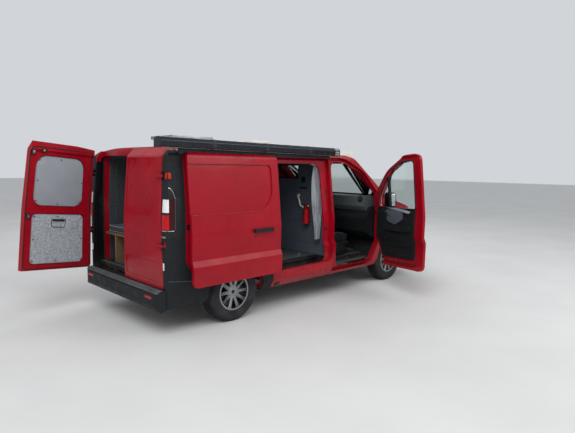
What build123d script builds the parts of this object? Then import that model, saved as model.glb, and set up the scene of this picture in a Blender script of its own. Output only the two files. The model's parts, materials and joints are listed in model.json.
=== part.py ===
from build123d import *
import os
from math import hypot, radians, tan

# Camper van: a short panel van with a fitted-out load space, parked with its doors open.
# Millimetres, +X forward, +Y left, +Z up. Every piece is drawn with the floor point midway
# between the axles as zero, doors shut, then set to its stored pose and moved so that zero
# is on the floor under the middle of the box that holds the van with its doors open.

os.makedirs("parts", exist_ok=True)

# Driving dimensions of the whole van
WHEELBASE = 3098
TRACK = 1620
FRONT_OVERHANG = 933
REAR_OVERHANG = 968
WIDTH = 1956
HEIGHT = 1971
FLOOR_TOP = 552
BODY_BOTTOM = 300
SHUT_GAP = 6
SEAT = 0.3

# Wheels and arches
TYRE_RADIUS = 336
TYRE_WIDTH = 205
RIM_RADIUS = 216
HUB_RADIUS = 74
SPOKE_COUNT = 10
ARCH_RADIUS = 385
ARCH_ROOM = 402
ARCH_SHELL = 8
FRONT_ROOM_INSIDE = 500
REAR_ROOM_INSIDE = 634

# Walls
WALL = 60
LINING = 12
FRONT_WALL = 30
GLASS_DEPTH = 22
GLASS = 5
PANEL_RECESS = 12
LEAF = 38
COVER = 14
FLOOR_THICKNESS = 50

# Doors: how far each stands open, and how its hinge line leans
REAR_DOOR_OPEN = 82
REAR_LEAN_FORWARD = 2.5
REAR_LEAN_INWARD = 3.0
FRONT_DOOR_OPEN = 68
FRONT_LEAN_INWARD = 3.8
SLIDE_TRAVEL = 1030
SLIDE_STANDOFF = 86
STEER_LEAN = 10.5
TOW_EYE_RADIUS = 20

# Fixing points of a roof rack: four threaded bosses
RACK_X = (-1500, 100)
RACK_Y = 640
RACK_TOP = 1950
RACK_HOLE_RADIUS = 4
RACK_HOLE_DEPTH = 25

FRONT_AXLE = WHEELBASE / 2
REAR_AXLE = -WHEELBASE / 2
NOSE = FRONT_AXLE + FRONT_OVERHANG
TAIL = REAR_AXLE - REAR_OVERHANG
HALF = WIDTH / 2
DOOR_PLANE = TAIL + 97
REAR_SILL = 484
RIGHT, LEFT = -1, 1

# Where zero of the stored frame lies in the frame that the pieces are drawn in
STORED_ZERO = (-423, -427, 0)


def block(x0, x1, y0, y1, z0, z1):
    """A block between two opposite corners."""
    middle = Pos((x0 + x1) / 2, (y0 + y1) / 2, (z0 + z1) / 2)
    return middle * Box(abs(x1 - x0), abs(y1 - y0), abs(z1 - z0))


def outline(rows, arc_top=None):
    """A flat outline from rows of u, v and corner radius; arc_top bows its last side out."""
    corners = [(row[0], row[1]) for row in rows]
    if arc_top:
        sides = [Polyline(*corners), ThreePointArc(corners[-1], arc_top, corners[0])]
        flat = make_face(sides)
    else:
        flat = make_face(Polyline(*corners, close=True))
    for u, v, radius in rows:
        if radius:
            corner = flat.vertices().sort_by_distance((u, v, 0))[0]
            flat = fillet(corner, radius)
    return flat


def side_prism(flat, y0, y1):
    """An outline in X and Z, drawn out along Y."""
    plane = Plane(origin=(0, y0, 0), x_dir=(1, 0, 0), z_dir=(0, -1, 0))
    return extrude(plane * flat, amount=abs(y1 - y0), dir=(0, 1 if y1 > y0 else -1, 0))


def end_prism(flat, x0, x1):
    """An outline in Y and Z, drawn out along X."""
    plane = Plane(origin=(x0, 0, 0), x_dir=(0, 1, 0), z_dir=(1, 0, 0))
    return extrude(plane * flat, amount=x1 - x0)


def plan_prism(flat, z0, z1):
    """An outline in X and Y, drawn out along Z."""
    return extrude(Plane.XY.offset(z0) * flat, amount=z1 - z0)


def mirrored(solid):
    """The same solid on the other side of the van."""
    return mirror(solid, Plane.XZ)


def disc(x, z, radius, y0, y1):
    """A cylinder across the van, from y0 to y1."""
    turn = Pos(x, (y0 + y1) / 2, z) * Rot(90, 0, 0)
    return turn * Cylinder(radius, abs(y1 - y0))


def rod(start, end, radius):
    """A round bar between two points."""
    along = Vector(*end) - Vector(*start)
    plane = Plane(origin=start, z_dir=along)
    return extrude(plane * Circle(radius), amount=along.length)


# The windscreen's foot and head on the middle line, and how far its middle bows forward
SCREEN_FOOT = (1626, 1262)
SCREEN_HEAD = (770, 1888)
SCREEN_BOW = 135
SCREEN_BACK = 675

# The van's outer form is where three outlines meet: from the side, from above and from behind.
# Columns: x or y, then z or y, then corner radius.
SIDE_ROWS = [
    (DOOR_PLANE, BODY_BOTTOM, 0),
    (DOOR_PLANE, 1200, 900),
    (DOOR_PLANE + 50, 1862, 40),
    (DOOR_PLANE + 140, 1962, 50),
    (-1700, HEIGHT + 3, 2500),
    (250, HEIGHT + 2, 2500),
    (*SCREEN_HEAD, 200),
    (*SCREEN_FOOT, 200),
    (2300, 1075, 160),
    (NOSE - 44, 860, 200),
    (NOSE, 560, 200),
    (NOSE - 60, 215, 60),
    (FRONT_AXLE + 412, 215, 0),
    (FRONT_AXLE + 400, BODY_BOTTOM, 0),
]
PLAN_ROWS = [
    (DOOR_PLANE, 905, 45),
    (-1750, HALF, 1500),
    (1350, HALF, 1500),
    (2080, 925, 500),
    (2390, 700, 260),
    (NOSE + 14, 0, 900),
]
SECTION_ROWS = [
    (905, BODY_BOTTOM - 90, 0),
    (905, BODY_BOTTOM, 0),
    (970, 390, 60),
    (HALF, 720, 40),
    (948, 790, 40),
    (955, 1060, 300),
    (868, 1880, 70),
    (800, 1925, 50),
]


def both_sides(rows):
    """Rows of one half and their mirror image, as one closed outline."""
    near = [(u, -v, radius) for u, v, radius in rows]
    far = [(u, v, radius) for u, v, radius in reversed(rows) if v]
    return near + far


def section_outline():
    """The van seen from behind: flat floor, stepped and leaning sides, bowed roof."""
    near = [(-y, z, radius) for y, z, radius in reversed(SECTION_ROWS)]
    far = list(SECTION_ROWS)
    return outline(near + far, arc_top=(0, HEIGHT))


SIDE = outline(SIDE_ROWS)
PLAN = outline(both_sides(PLAN_ROWS))
SECTION = section_outline()
FORMS = {}


def screen_corners(inset):
    """The space ahead of the windscreen's sides, which bend back from its middle."""
    run, rise = SCREEN_FOOT[0] - SCREEN_HEAD[0], SCREEN_HEAD[1] - SCREEN_FOOT[1]
    slope = Vector(-run, 0, rise).normalized()
    front = SCREEN_FOOT[0] + inset * run / rise - inset * hypot(run, rise) / rise
    side, wide = front - SCREEN_BOW, HALF + 20
    arc = ThreePointArc((side, -wide), (front, 0), (side, wide))
    rest = Polyline((side, wide), (front + 700, wide), (front + 700, -wide), (side, -wide))
    flat = Plane.XY.offset(SCREEN_FOOT[1] - inset) * make_face([arc, rest])
    return extrude(flat, amount=1300, dir=slope)


def body_form(inset=0.0):
    """The solid inside the van's skin, inset by that much."""
    if inset not in FORMS:
        flats = [SIDE, PLAN, SECTION]
        if inset:
            flats = [offset(flat, amount=-inset) for flat in flats]
        side, plan, section = flats
        solid = side_prism(side, -1200, 1200)
        solid = solid & plan_prism(plan, 0, 2200)
        solid = solid & end_prism(section, -2700, 2700)
        FORMS[inset] = solid - screen_corners(inset)
    return FORMS[inset]


def layer(outer, inner):
    """A shell between two insets of the van's form."""
    return body_form(outer) - body_form(inner)


def wheel_room(axle, radius, inside):
    """The space round a wheel, on both sides of the van."""
    left = disc(axle, TYRE_RADIUS, radius, inside, 1200)
    return left + mirrored(left)


# Front edge of the front doors, and how far ahead of it their hinge line is
FRONT_EDGE = 1182
HINGE_AHEAD = 5

# Outlines of the panels. Columns: x or y, z, corner radius.
# A side door has an outer leaf and, behind it, a smaller plug as deep as the wall.
FRONT_DOOR_ROWS = [
    (102, 345, 40),
    (965, 345, 120),
    (FRONT_EDGE, 700, 200),
    (FRONT_EDGE, 1385, 30),
    (870, 1700, 600),
    (430, 1890, 450),
    (102, 1890, 90),
]
FRONT_PLUG_ROWS = [
    (222, 400, 60),
    (945, 400, 100),
    (1158, 730, 180),
    (1158, 1372, 30),
    (852, 1680, 560),
    (440, 1829, 300),
    (184, 1829, 90),
]
FRONT_WINDOW_ROWS = [
    (222, 1165, 40),
    (1080, 1185, 40),
    (1050, 1335, 40),
    (750, 1680, 420),
    (470, 1801, 200),
    (214, 1801, 70),
]
SLIDE_DOOR_ROWS = [
    (-1166, 508, 60),
    (84, 508, 60),
    (84, 1895, 70),
    (-1166, 1903, 60),
]
SLIDE_PLUG_ROWS = [
    (-1126, 508, 60),
    (-26, 508, 60),
    (-62, 1801, 120),
    (-1126, 1801, 110),
]
SLIDE_RECESS_ROWS = [
    (-1166 - 400, 1262, 0),
    (-28, 1262, 260),
    (-28, 1782, 60),
    (-1166 - 400, 1782, 0),
]
BLANK_RECESS_ROWS = [
    (-1086, 1262, 60),
    (-22, 1262, 60),
    (-22, 1782, 60),
    (-1086, 1782, 60),
]
QUARTER_RECESS_ROWS = [
    (-2130, 1262, 60),
    (-1250, 1262, 60),
    (-1250, 1782, 60),
    (-2130, 1782, 60),
]
REAR_TRIM_ROWS = [
    (DOOR_PLANE - 50, BODY_BOTTOM - 40, 0),
    (-1000, BODY_BOTTOM - 40, 0),
    (-1000, 500, 0),
    (-2060, 500, 0),
    (-2205, 780, 120),
    (-2195, 1990, 0),
    (DOOR_PLANE - 50, 1990, 0),
]
REAR_DOOR_ROWS = [
    (SHUT_GAP / 2, 497, 0),
    (845, 497, 40),
    (766, 1930, 0),
    (766, 2100, 0),
    (SHUT_GAP / 2, 2100, 0),
]
REAR_PRESSING_ROWS = [
    [(44, 1240, 50), (742, 1240, 50), (712, 1838, 90), (44, 1838, 50)],
    [(44, 560, 30), (790, 560, 30), (782, 768, 60), (44, 768, 30)],
]
WINDSCREEN_ROWS = [
    (-800, 1306, 60),
    (800, 1306, 60),
    (650, 1862, 90),
    (-650, 1862, 90),
]


def shell_blank():
    """The van's skin before it is split: open below, thinner round the engine."""
    cab_end = 1300
    behind = block(-3000, cab_end, -1200, 1200, 0, 2200)
    ahead = block(cab_end, 3000, -1200, 1200, 0, 2200)
    below = block(-2200, 2120, -905 + WALL, 905 - WALL, BODY_BOTTOM - 100, 420)
    below = below + block(-2500, -2340, -800, 800, BODY_BOTTOM - 100, REAR_SILL)
    skin = body_form() - (body_form(WALL) & behind) - (body_form(FRONT_WALL) & ahead)
    skin = skin - below
    for axle, inside in ((FRONT_AXLE, FRONT_ROOM_INSIDE), (REAR_AXLE, REAR_ROOM_INSIDE)):
        skin = skin - wheel_room(axle, ARCH_RADIUS, inside)
    return skin


# How far out a side door's leaf starts under the roof's edge
LEAF_INSIDE = 806


def door_prism(rows, side, grow=0.0, inside=560):
    """The cutter for a side door or its opening, one side of the van."""
    flat = outline(rows)
    if grow:
        flat = offset(flat, amount=grow)
    return side_prism(flat, side * inside, side * 1200)


# How far ahead of the rear doors' plane their tops reach
REAR_DOOR_REACH = 130


def rear_door_prism(side, grow=0.0):
    """The cutter for one rear door; its free edge is bevelled so that it clears the other."""
    flat = outline(REAR_DOOR_ROWS)
    if grow:
        flat = offset(flat, amount=grow)
    solid = end_prism(flat, DOOR_PLANE - 200, DOOR_PLANE + REAR_DOOR_REACH + grow)
    bevel_rows = [
        (DOOR_PLANE - 10, 0, 0),
        (DOOR_PLANE - 10, SHUT_GAP / 2, 0),
        (DOOR_PLANE + 400, SHUT_GAP / 2 + 58, 0),
        (DOOR_PLANE + 400, 0, 0),
    ]
    if not grow:
        solid = solid - plan_prism(outline(bevel_rows), 0, 2200)
    return solid if side == LEFT else mirrored(solid)


# Hinges: barrels on the door stand between barrels on the frame, on one line.
BARREL_RADIUS = 12
SMALL_BARREL = 8
BARREL_ROOM = 5
BARREL_LENGTH = 26
BARREL_GAP = 0.3


def lean_axis(side, forward, inward):
    """The direction of a hinge line that leans forward and towards the middle."""
    return Vector(tan(radians(forward)), -side * tan(radians(inward)), 1).normalized()


def barrels(root, axis, height, moving, radius, room=0.0):
    """The barrels of one hinge at a height: the middle one moves, the outer two are fixed."""
    centre = root + axis * ((height - root.Z) / axis.Z)
    cylinders = []
    for step in (0,) if moving else (-1, 1):
        start = centre + axis * (step * (BARREL_LENGTH + BARREL_GAP) - BARREL_LENGTH / 2 - room)
        plane = Plane(origin=start, z_dir=axis)
        cylinders.append(extrude(plane * Circle(radius + room), amount=BARREL_LENGTH + 2 * room))
    return cylinders


REAR_HINGE_HEIGHTS = (955, 1660)
FRONT_HINGE_HEIGHTS = (800, 1090)


def rear_hinge_root(side):
    """A point on a rear door's hinge line, behind the pillar's corner."""
    return Vector(DOOR_PLANE - 41, side * 886, 500)


def front_hinge_root(side):
    """A point on a front door's hinge line, just outside the skin."""
    return Vector(FRONT_EDGE + HINGE_AHEAD, side * (HALF + 2), 690)


def leaf_band(barrel, side, x0, x1, y0, y1, room=0.0):
    """A strap as high as its barrel, between offsets from the barrel's middle."""
    spot = barrel.center()
    half = BARREL_LENGTH / 2 - 1 + room
    near, far = spot.Y + side * y0, spot.Y + side * y1
    return block(spot.X + x0, spot.X + x1, near, far, spot.Z - half, spot.Z + half)


def rear_leaf(side, height, moving):
    """A rear hinge: a cranked strap on the door's face, or an arm back from the pillar."""
    axis = lean_axis(side, REAR_LEAN_FORWARD, REAR_LEAN_INWARD)
    pieces = []
    for barrel in barrels(rear_hinge_root(side), axis, height, moving, BARREL_RADIUS):
        if moving:
            strap = leaf_band(barrel, side, -4, 4, -150, 0)
            strap = strap + (leaf_band(barrel, side, -4, 110, -150, -60) - body_form(8))
        else:
            strap = leaf_band(barrel, side, -4, 110, -4, 14) - body_form(30)
        pieces.append(barrel + strap)
    return pieces


def front_leaf(side, height, moving):
    """A front hinge's leaf: back into the door, or forward into the pillar."""
    axis = lean_axis(side, 0, FRONT_LEAN_INWARD)
    reach = -70 if moving else 60
    pieces = []
    for barrel in barrels(front_hinge_root(side), axis, height, moving, SMALL_BARREL):
        strap = leaf_band(barrel, side, 0, reach, -28, -45)
        plate = leaf_band(barrel, side, reach * 0.4, reach, -28, 6 - WALL)
        arm = leaf_band(barrel, side, 0, reach * 0.2, -45, 0)
        pieces.append(barrel + arm + ((strap + plate) & body_form(4)))
    return pieces


def front_barrel_room(side, moving):
    """The room that the other leaf's barrels need in a door or pillar."""
    axis = lean_axis(side, 0, FRONT_LEAN_INWARD)
    room = []
    reach = BARREL_ROOM + 1 if moving else -BARREL_ROOM
    for height in FRONT_HINGE_HEIGHTS:
        for barrel in barrels(front_hinge_root(side), axis, height, moving, SMALL_BARREL, BARREL_ROOM):
            room.append(barrel + leaf_band(barrel, side, 0, reach, -50, 0, BARREL_ROOM))
            if moving:
                room.append(leaf_band(barrel, side, -30, 0, -66, -20, BARREL_ROOM))
    return room


# Body panels
def side_doorway(rows, plug_rows, side):
    """A side door's hole: a rebate for its leaf, and the smaller hole for its plug."""
    rebate = door_prism(rows, side, SHUT_GAP, LEAF_INSIDE - SHUT_GAP) & layer(-2, LEAF + SHUT_GAP)
    return rebate + door_prism(plug_rows, side, SHUT_GAP)


def openings():
    """All the holes that doors and glass leave in the skin."""
    cut = end_prism(outline(WINDSCREEN_ROWS), SCREEN_BACK, 2000)
    for side in (LEFT, RIGHT):
        cut = cut + side_doorway(FRONT_DOOR_ROWS, FRONT_PLUG_ROWS, side)
        cut = cut + rear_door_prism(side, SHUT_GAP + 4)
    return cut + side_doorway(SLIDE_DOOR_ROWS, SLIDE_PLUG_ROWS, RIGHT)


def roof_region():
    """The roof between its gutters, with the windscreen's header."""
    return block(-2600, 900, -790, 790, 1800, 2200)


def rear_trim_region():
    """The black corners and lower rear sides."""
    flat = outline(REAR_TRIM_ROWS)
    left = side_prism(flat, 600, 1200)
    return left + mirrored(left)


BUMPER_TOP = 690
GRILLE_TOP = 905
GRILLE_HALF = 478
BONNET_ROWS = [
    (1637, 800, 0),
    (2180, 778, 60),
    (2300, 640, 60),
    (2330, 470, 20),
    (2600, 470, 0),
]
LAMP_TOP = 1012
LAMP_ROWS = [
    (2130, 905, 60),
    (2225, LAMP_TOP, 40),
    (2600, LAMP_TOP, 0),
    (2600, 740, 0),
    (2300, 740, 80),
]


def bonnet_region(grow=0.0):
    """The bonnet seen from above, over the grille and lamps."""
    rows = BONNET_ROWS
    flat = outline(both_sides(rows))
    if grow:
        flat = offset(flat, amount=grow)
    half = GRILLE_HALF - SHUT_GAP + grow
    lip = plan_prism(flat, GRILLE_TOP + SHUT_GAP - grow, 1500) & block(2200, 2600, -half, half, 0, 2000)
    return plan_prism(flat, LAMP_TOP + SHUT_GAP - grow, 1500) + lip


def lamp_region():
    """Both headlamps, between bumper, grille, wing and bonnet."""
    left = side_prism(outline(LAMP_ROWS), GRILLE_HALF, 1200)
    left = left - block(2000, 2600, 0, GRILLE_HALF + 2, 0, 2000)
    return left + mirrored(left)


def grille_region():
    """The grille's opening between the headlamps."""
    return block(2300, 2600, -GRILLE_HALF, GRILLE_HALF, BUMPER_TOP + SEAT, GRILLE_TOP)


def bumper_region():
    """The front bumper, round to the wheel arches."""
    return block(FRONT_AXLE + 150, 2600, -1200, 1200, 0, BUMPER_TOP)


def cowl_region():
    """The black panel between bonnet and windscreen."""
    return block(1440, 1631, -800, 800, 1150, 1318)


def outline_top(flat, u):
    """How high a side outline is at u."""
    return (side_prism(flat, 0, 10) & block(u - 0.5, u + 0.5, 0, 10, 0, 3000)).bounding_box().max.Z


# The bonnet's hinge line, level with the skin between cowl and bonnet
BONNET_HINGE_X = 1634
BONNET_HINGE_Y = 680
BONNET_HINGE_Z = outline_top(SIDE, BONNET_HINGE_X)
BONNET_BARREL = 7


def wing_region():
    """The front wings, between the front doors and the bumper."""
    return block(1300, 2600, -1200, 1200, 0, 1400)


SKIN = shell_blank()
CUT_SKIN = SKIN - openings()


def largest(shape, count=1):
    """The biggest solids of a cut, without slivers."""
    solids = sorted(shape.solids(), key=lambda solid: solid.volume, reverse=True)
    return Compound(solids[:count]) if count > 1 else solids[0]


def recess(rows, side, depth=PANEL_RECESS):
    """A shallow sunken field pressed into a side panel."""
    return door_prism(rows, side) - body_form(depth)


def roof_panel():
    """The roof skin with its pressed ribs."""
    panel = largest(CUT_SKIN & roof_region())
    for x in RACK_X:
        for y in (-RACK_Y, RACK_Y):
            panel = panel + disc_up(x, y, 16, RACK_TOP - 30, RACK_TOP)
            panel = panel - disc_up(x, y, RACK_HOLE_RADIUS, RACK_TOP - RACK_HOLE_DEPTH, RACK_TOP + 1)
    return panel


def body_side(side):
    """One side of the body: pillars, cantrail, sill and quarter panel."""
    half = block(-2700, 2600, side * 300, side * 1200, 0, 2200)
    panel = (CUT_SKIN & half) - roof_region() - (rear_trim_region() & layer(-1, COVER))
    panel = panel - (tail_lamp_region() & layer(-1, WALL - 12)) - wing_region() - cowl_region()
    panel = panel - recess(QUARTER_RECESS_ROWS, side)
    if side == LEFT:
        panel = panel - recess(BLANK_RECESS_ROWS, side)
    else:
        panel = panel - centre_rail_slot()
    solid = largest(panel)
    for room in front_barrel_room(side, moving=True):
        solid = solid - room
    for height in FRONT_HINGE_HEIGHTS:
        for leaf in front_leaf(side, height, moving=False):
            solid = solid + leaf
    for height in REAR_HINGE_HEIGHTS:
        for leaf in rear_leaf(side, height, moving=False):
            solid = solid + leaf
    return solid


def rear_corners():
    """The black covers of the rear corners and lower sides, open round the hinge straps."""
    trims = (CUT_SKIN & rear_trim_region() & layer(-1, COVER)) - roof_region()
    trims = (trims - tail_lamp_region()) & block(-2700, 0, 0, 1200, 0, 2200)
    axis = lean_axis(LEFT, REAR_LEAN_FORWARD, REAR_LEAN_INWARD)
    for height in REAR_HINGE_HEIGHTS:
        for barrel in barrels(rear_hinge_root(LEFT), axis, height, False, BARREL_RADIUS):
            trims = trims - leaf_band(barrel, LEFT, -6, 112, -6, 16, 2)
    left = largest(trims, 2)
    return Compound(left.solids() + mirrored(left).solids())


def tail_lamp_region(grow=0.0):
    """The tall tail lamps in the rear corners."""
    left = block(DOOR_PLANE - 60, -2240 + grow, 872 - grow, 1200, 1030 - grow, 1440 + grow)
    return left + mirrored(left)


def tail_lamps():
    """Both tail lamps."""
    lamps = layer(2, WALL - 15) & tail_lamp_region(-SEAT)
    return largest(lamps, 2)


# Rail on the quarter panel that carries the sliding door's middle arm
RAIL_Z = (1100, 1160)


def centre_rail_slot():
    """The slot along the quarter panel for the middle rail."""
    return block(-2190, -1150, -1200, -700, *RAIL_Z) & layer(-1, 36)


def front_wings():
    """Both front wings with their arch edges."""
    region = wing_region() - bumper_region() - lamp_region() - grille_region()
    region = region - bonnet_region(SHUT_GAP) - cowl_region()
    region = region - block(1700, 2600, -GRILLE_HALF, GRILLE_HALF, 0, 1400)
    return largest(SKIN & region - end_prism(outline(WINDSCREEN_ROWS), SCREEN_BACK, 2000), 2)


def bonnet_hinge(side, moving, room=0.0):
    """A bonnet hinge's barrels with their short arms, or the room round them."""
    parts = []
    for step in (0,) if moving else (-1, 1):
        middle = side * BONNET_HINGE_Y + step * (BARREL_LENGTH + BARREL_GAP)
        near, far = middle - BARREL_LENGTH / 2 - room, middle + BARREL_LENGTH / 2 + room
        barrel = disc(BONNET_HINGE_X, BONNET_HINGE_Z, BONNET_BARREL + room, near, far)
        reach = 30 if moving else -30
        if room:
            reach = BARREL_ROOM if moving else -BARREL_ROOM
        low, high = BONNET_HINGE_Z - 16, BONNET_HINGE_Z - 4
        arm = block(BONNET_HINGE_X, BONNET_HINGE_X + reach, near, far, low, high)
        parts.append(barrel + arm)
    return parts


def with_bonnet_hinges(panel, moving):
    """A panel with its leaves of both bonnet hinges, and room for the other leaves."""
    for side in (LEFT, RIGHT):
        for room in bonnet_hinge(side, not moving, BARREL_ROOM):
            panel = panel - room
        for leaf in bonnet_hinge(side, moving):
            panel = panel + leaf
    return panel


def bonnet():
    """The bonnet as one lid, with its hinge leaves at the back."""
    lid = largest(SKIN & bonnet_region() - cowl_region() - lamp_region())
    return with_bonnet_hinges(lid, moving=True)


def front_bumper():
    """The bumper with its lower air intake."""
    panel = SKIN & bumper_region()
    intake_rows = [(-520, 330, 40), (520, 330, 40), (440, 480, 40), (-440, 480, 40)]
    intake = end_prism(outline(intake_rows), 2200, 2600)
    return largest(panel - intake)


def grille():
    """A frame with level bars between the headlamps."""
    bars = layer(4, 26) & (grille_region() & block(2300, 2600, -470, 470, BUMPER_TOP + SEAT, GRILLE_TOP - 4))
    slots = []
    for index in range(3):
        low = BUMPER_TOP + 34 + index * 58
        slots.append(block(2200, 2600, -430, 430, low, low + 34))
    for slot in slots:
        bars = bars - slot
    return largest(bars)


def head_lamps():
    """Both headlamps."""
    return largest((layer(1, 28) & lamp_region()) - bonnet_region(SHUT_GAP), 2)


def cowl():
    """The panel below the windscreen, with both wipers parked on it."""
    panel = largest(SKIN & cowl_region() - end_prism(outline(WINDSCREEN_ROWS), SCREEN_BACK, 1700))
    return with_bonnet_hinges(panel, moving=False)


def windscreen():
    """The bonded front glass."""
    flat = offset(outline(WINDSCREEN_ROWS), amount=-SEAT)
    return largest(layer(GLASS_DEPTH - 8, GLASS_DEPTH - 8 + GLASS) & end_prism(flat, SCREEN_BACK, 1800))


# Doors
def leaf_and_plug(rows, plug_rows, side):
    """A side door's outer leaf with the plug behind it."""
    leaf = layer(0, LEAF) & door_prism(rows, side, 0, LEAF_INSIDE)
    return leaf + (layer(0, WALL) & door_prism(plug_rows, side))


def front_door(side):
    """A front door with its window frame, quarter bar and hinge leaves."""
    door = leaf_and_plug(FRONT_DOOR_ROWS, FRONT_PLUG_ROWS, side)
    window = door_prism(FRONT_WINDOW_ROWS, side)
    bar = layer(GLASS_DEPTH + GLASS + 3, WALL - 6) & block(806, 832, side * 700, side * 1200, 1100, 1800)
    door = door - window + (bar & door_prism(FRONT_WINDOW_ROWS, side, 6))
    door = largest(door)
    handle = layer(-30, -8) & block(150, 330, side * 700, side * 1200, 1010, 1045)
    feet = layer(-14, 4) & block(150, 330, side * 700, side * 1200, 1010, 1045)
    feet = feet - block(175, 305, side * 700, side * 1200, 1000, 1060)
    door = door + handle + feet
    for room in front_barrel_room(side, moving=False):
        door = door - room
    for height in FRONT_HINGE_HEIGHTS:
        for leaf in front_leaf(side, height, moving=True):
            door = door + leaf
    return door


def front_door_glass(side):
    """The door glass, held in its frame."""
    flat = offset(outline(FRONT_WINDOW_ROWS), amount=-SEAT)
    return largest(layer(GLASS_DEPTH, GLASS_DEPTH + GLASS) & side_prism(flat, side * 560, side * 1200))


def front_door_card(side):
    """The trim panel on the inside of a front door."""
    rows = [(246, 475, 60), (940, 475, 60), (1100, 730, 120), (1120, 1120, 40), (246, 1120, 40)]
    card = layer(WALL, WALL + 18) & door_prism(rows, side)
    rest_rows = [(300, 850, 20), (820, 850, 20), (880, 930, 20), (300, 930, 20)]
    arm = layer(WALL + 10, WALL + 52) & door_prism(rest_rows, side)
    return largest(card + arm)


def mirror_housing(side):
    """The door mirror on its arm."""
    rows = [(1010, 1180, 40), (1140, 1180, 40), (1150, 1400, 50), (1035, 1400, 50)]
    head = side_prism(outline(rows), side * 1018, side * 1141)
    glass_well = block(980, 1022, side * 1030, side * 1130, 1195, 1385)
    arm = layer(-60, 4) & block(1075, 1130, side * 700, side * 1200, 1190, 1225)
    arm = arm + block(1075, 1130, side * 950, side * 1030, 1192, 1222)
    return largest(head - glass_well + arm) - body_form(-SEAT)


def rear_door(side):
    """A rear door with its pressed fields, the wells of its inner boards and its hinge straps."""
    door = largest(layer(0, WALL) & rear_door_prism(side))
    for rows in REAR_PRESSING_ROWS:
        field = layer(-1, 5) & end_prism(outline(rows), DOOR_PLANE - 20, DOOR_PLANE + REAR_DOOR_REACH)
        door = door - (field if side == LEFT else mirrored(field))
    for height in REAR_HINGE_HEIGHTS:
        for leaf in rear_leaf(side, height, moving=True):
            door = door + leaf
    wells = [
        [(92, 1230, 110), (690, 1230, 110), (662, 1810, 130), (92, 1810, 130)],
        [(92, 560, 60), (745, 560, 60), (715, 1150, 60), (92, 1150, 60)],
    ]
    for rows in wells:
        cutter = end_prism(outline(rows), DOOR_PLANE + 30, DOOR_PLANE + 400)
        cutter = cutter & body_form(30)
        door = door - (cutter if side == LEFT else mirrored(cutter))
    return door


def rear_door_cards(side):
    """The two boards set in the inside of a rear door."""
    wells = [
        [(100, 1238, 104), (682, 1238, 104), (655, 1802, 124), (100, 1802, 124)],
        [(100, 568, 54), (737, 568, 54), (708, 1142, 54), (100, 1142, 54)],
    ]
    boards = []
    for rows in wells:
        cutter = end_prism(outline(rows), DOOR_PLANE + 20, DOOR_PLANE + 400)
        board = layer(30 + SEAT, 46) & cutter
        boards.append(largest(board if side == LEFT else mirrored(board)))
    return Compound(boards)


def sliding_door():
    """The side door, drawn shut."""
    door = largest(leaf_and_plug(SLIDE_DOOR_ROWS, SLIDE_PLUG_ROWS, RIGHT)) - recess(SLIDE_RECESS_ROWS, RIGHT)
    handle = layer(-34, -10) & block(-348, -66, -1200, -700, 1022, 1058)
    feet = layer(-18, 4) & block(-348, -66, -1200, -700, 1022, 1058)
    feet = feet - block(-318, -96, -1200, -700, 1000, 1080)
    return door + handle + feet


# Arms that hold the open sliding door.
# Columns: x from and to, y from and to, z from and to.
ARM_ROWS = [
    (-2178, -2138, -1002, -935, 1108, 1152),
    (-1100, -1040, -1002, -716, 522, 536),
    (-1120, 30, -736, -712 - SEAT, 515, 543),
    (-1126, -1098, -912, -786, 1690, 1710),
    (-1126, -1098, -800, -786, 1690, 1822),
]


def slide_gear():
    """The three rails of the sliding door, and the arms from them to the open door."""
    middle = block(-2190 + SEAT, -1172, -1200, -700, RAIL_Z[0] + SEAT, RAIL_Z[1] - SEAT)
    middle = (middle & layer(10, 36 - SEAT)) - block(-2190, -1150, -1200, -942, 1118, 1142)
    upper = layer(WALL + SEAT, WALL + 16) & block(-1150, 60, -840, -740, 1806, 1880)
    arms = [block(*row) for row in ARM_ROWS]
    room = slide_pose(body_form(-SEAT) - body_form(WALL + SEAT))
    gear = middle + arms[0]
    lower = arms[1] + arms[2]
    top = upper + arms[3] + arms[4]
    return Compound([largest(piece - room) for piece in (gear, lower, top)])


# Wheels
def tyre_profile():
    """Half of the tyre's section: tread, shoulders, side walls and beads."""
    half = TYRE_WIDTH / 2
    rows = [
        (RIM_RADIUS - 8, -half + 20, 0),
        (RIM_RADIUS + 12, -half + 8, 10),
        (RIM_RADIUS + 62, -half, 40),
        (TYRE_RADIUS - 16, -half + 10, 14),
        (TYRE_RADIUS, -half + 26, 12),
        (TYRE_RADIUS, half - 26, 12),
        (TYRE_RADIUS - 16, half - 10, 14),
        (RIM_RADIUS + 62, half, 40),
        (RIM_RADIUS + 12, half - 8, 10),
        (RIM_RADIUS - 8, half - 20, 0),
    ]
    return outline(rows)


def wheel_pose(axle, side):
    """A wheel's place: its own outer face looks away from the van."""
    turn = -90 if side == LEFT else 90
    return Pos(axle, side * TRACK / 2, TYRE_RADIUS) * Rot(turn, 0, 0)


def tyre():
    """A tyre about Z, its outer face up."""
    ring = revolve(Plane.XZ * tyre_profile(), Axis.Z)
    return ring


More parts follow.
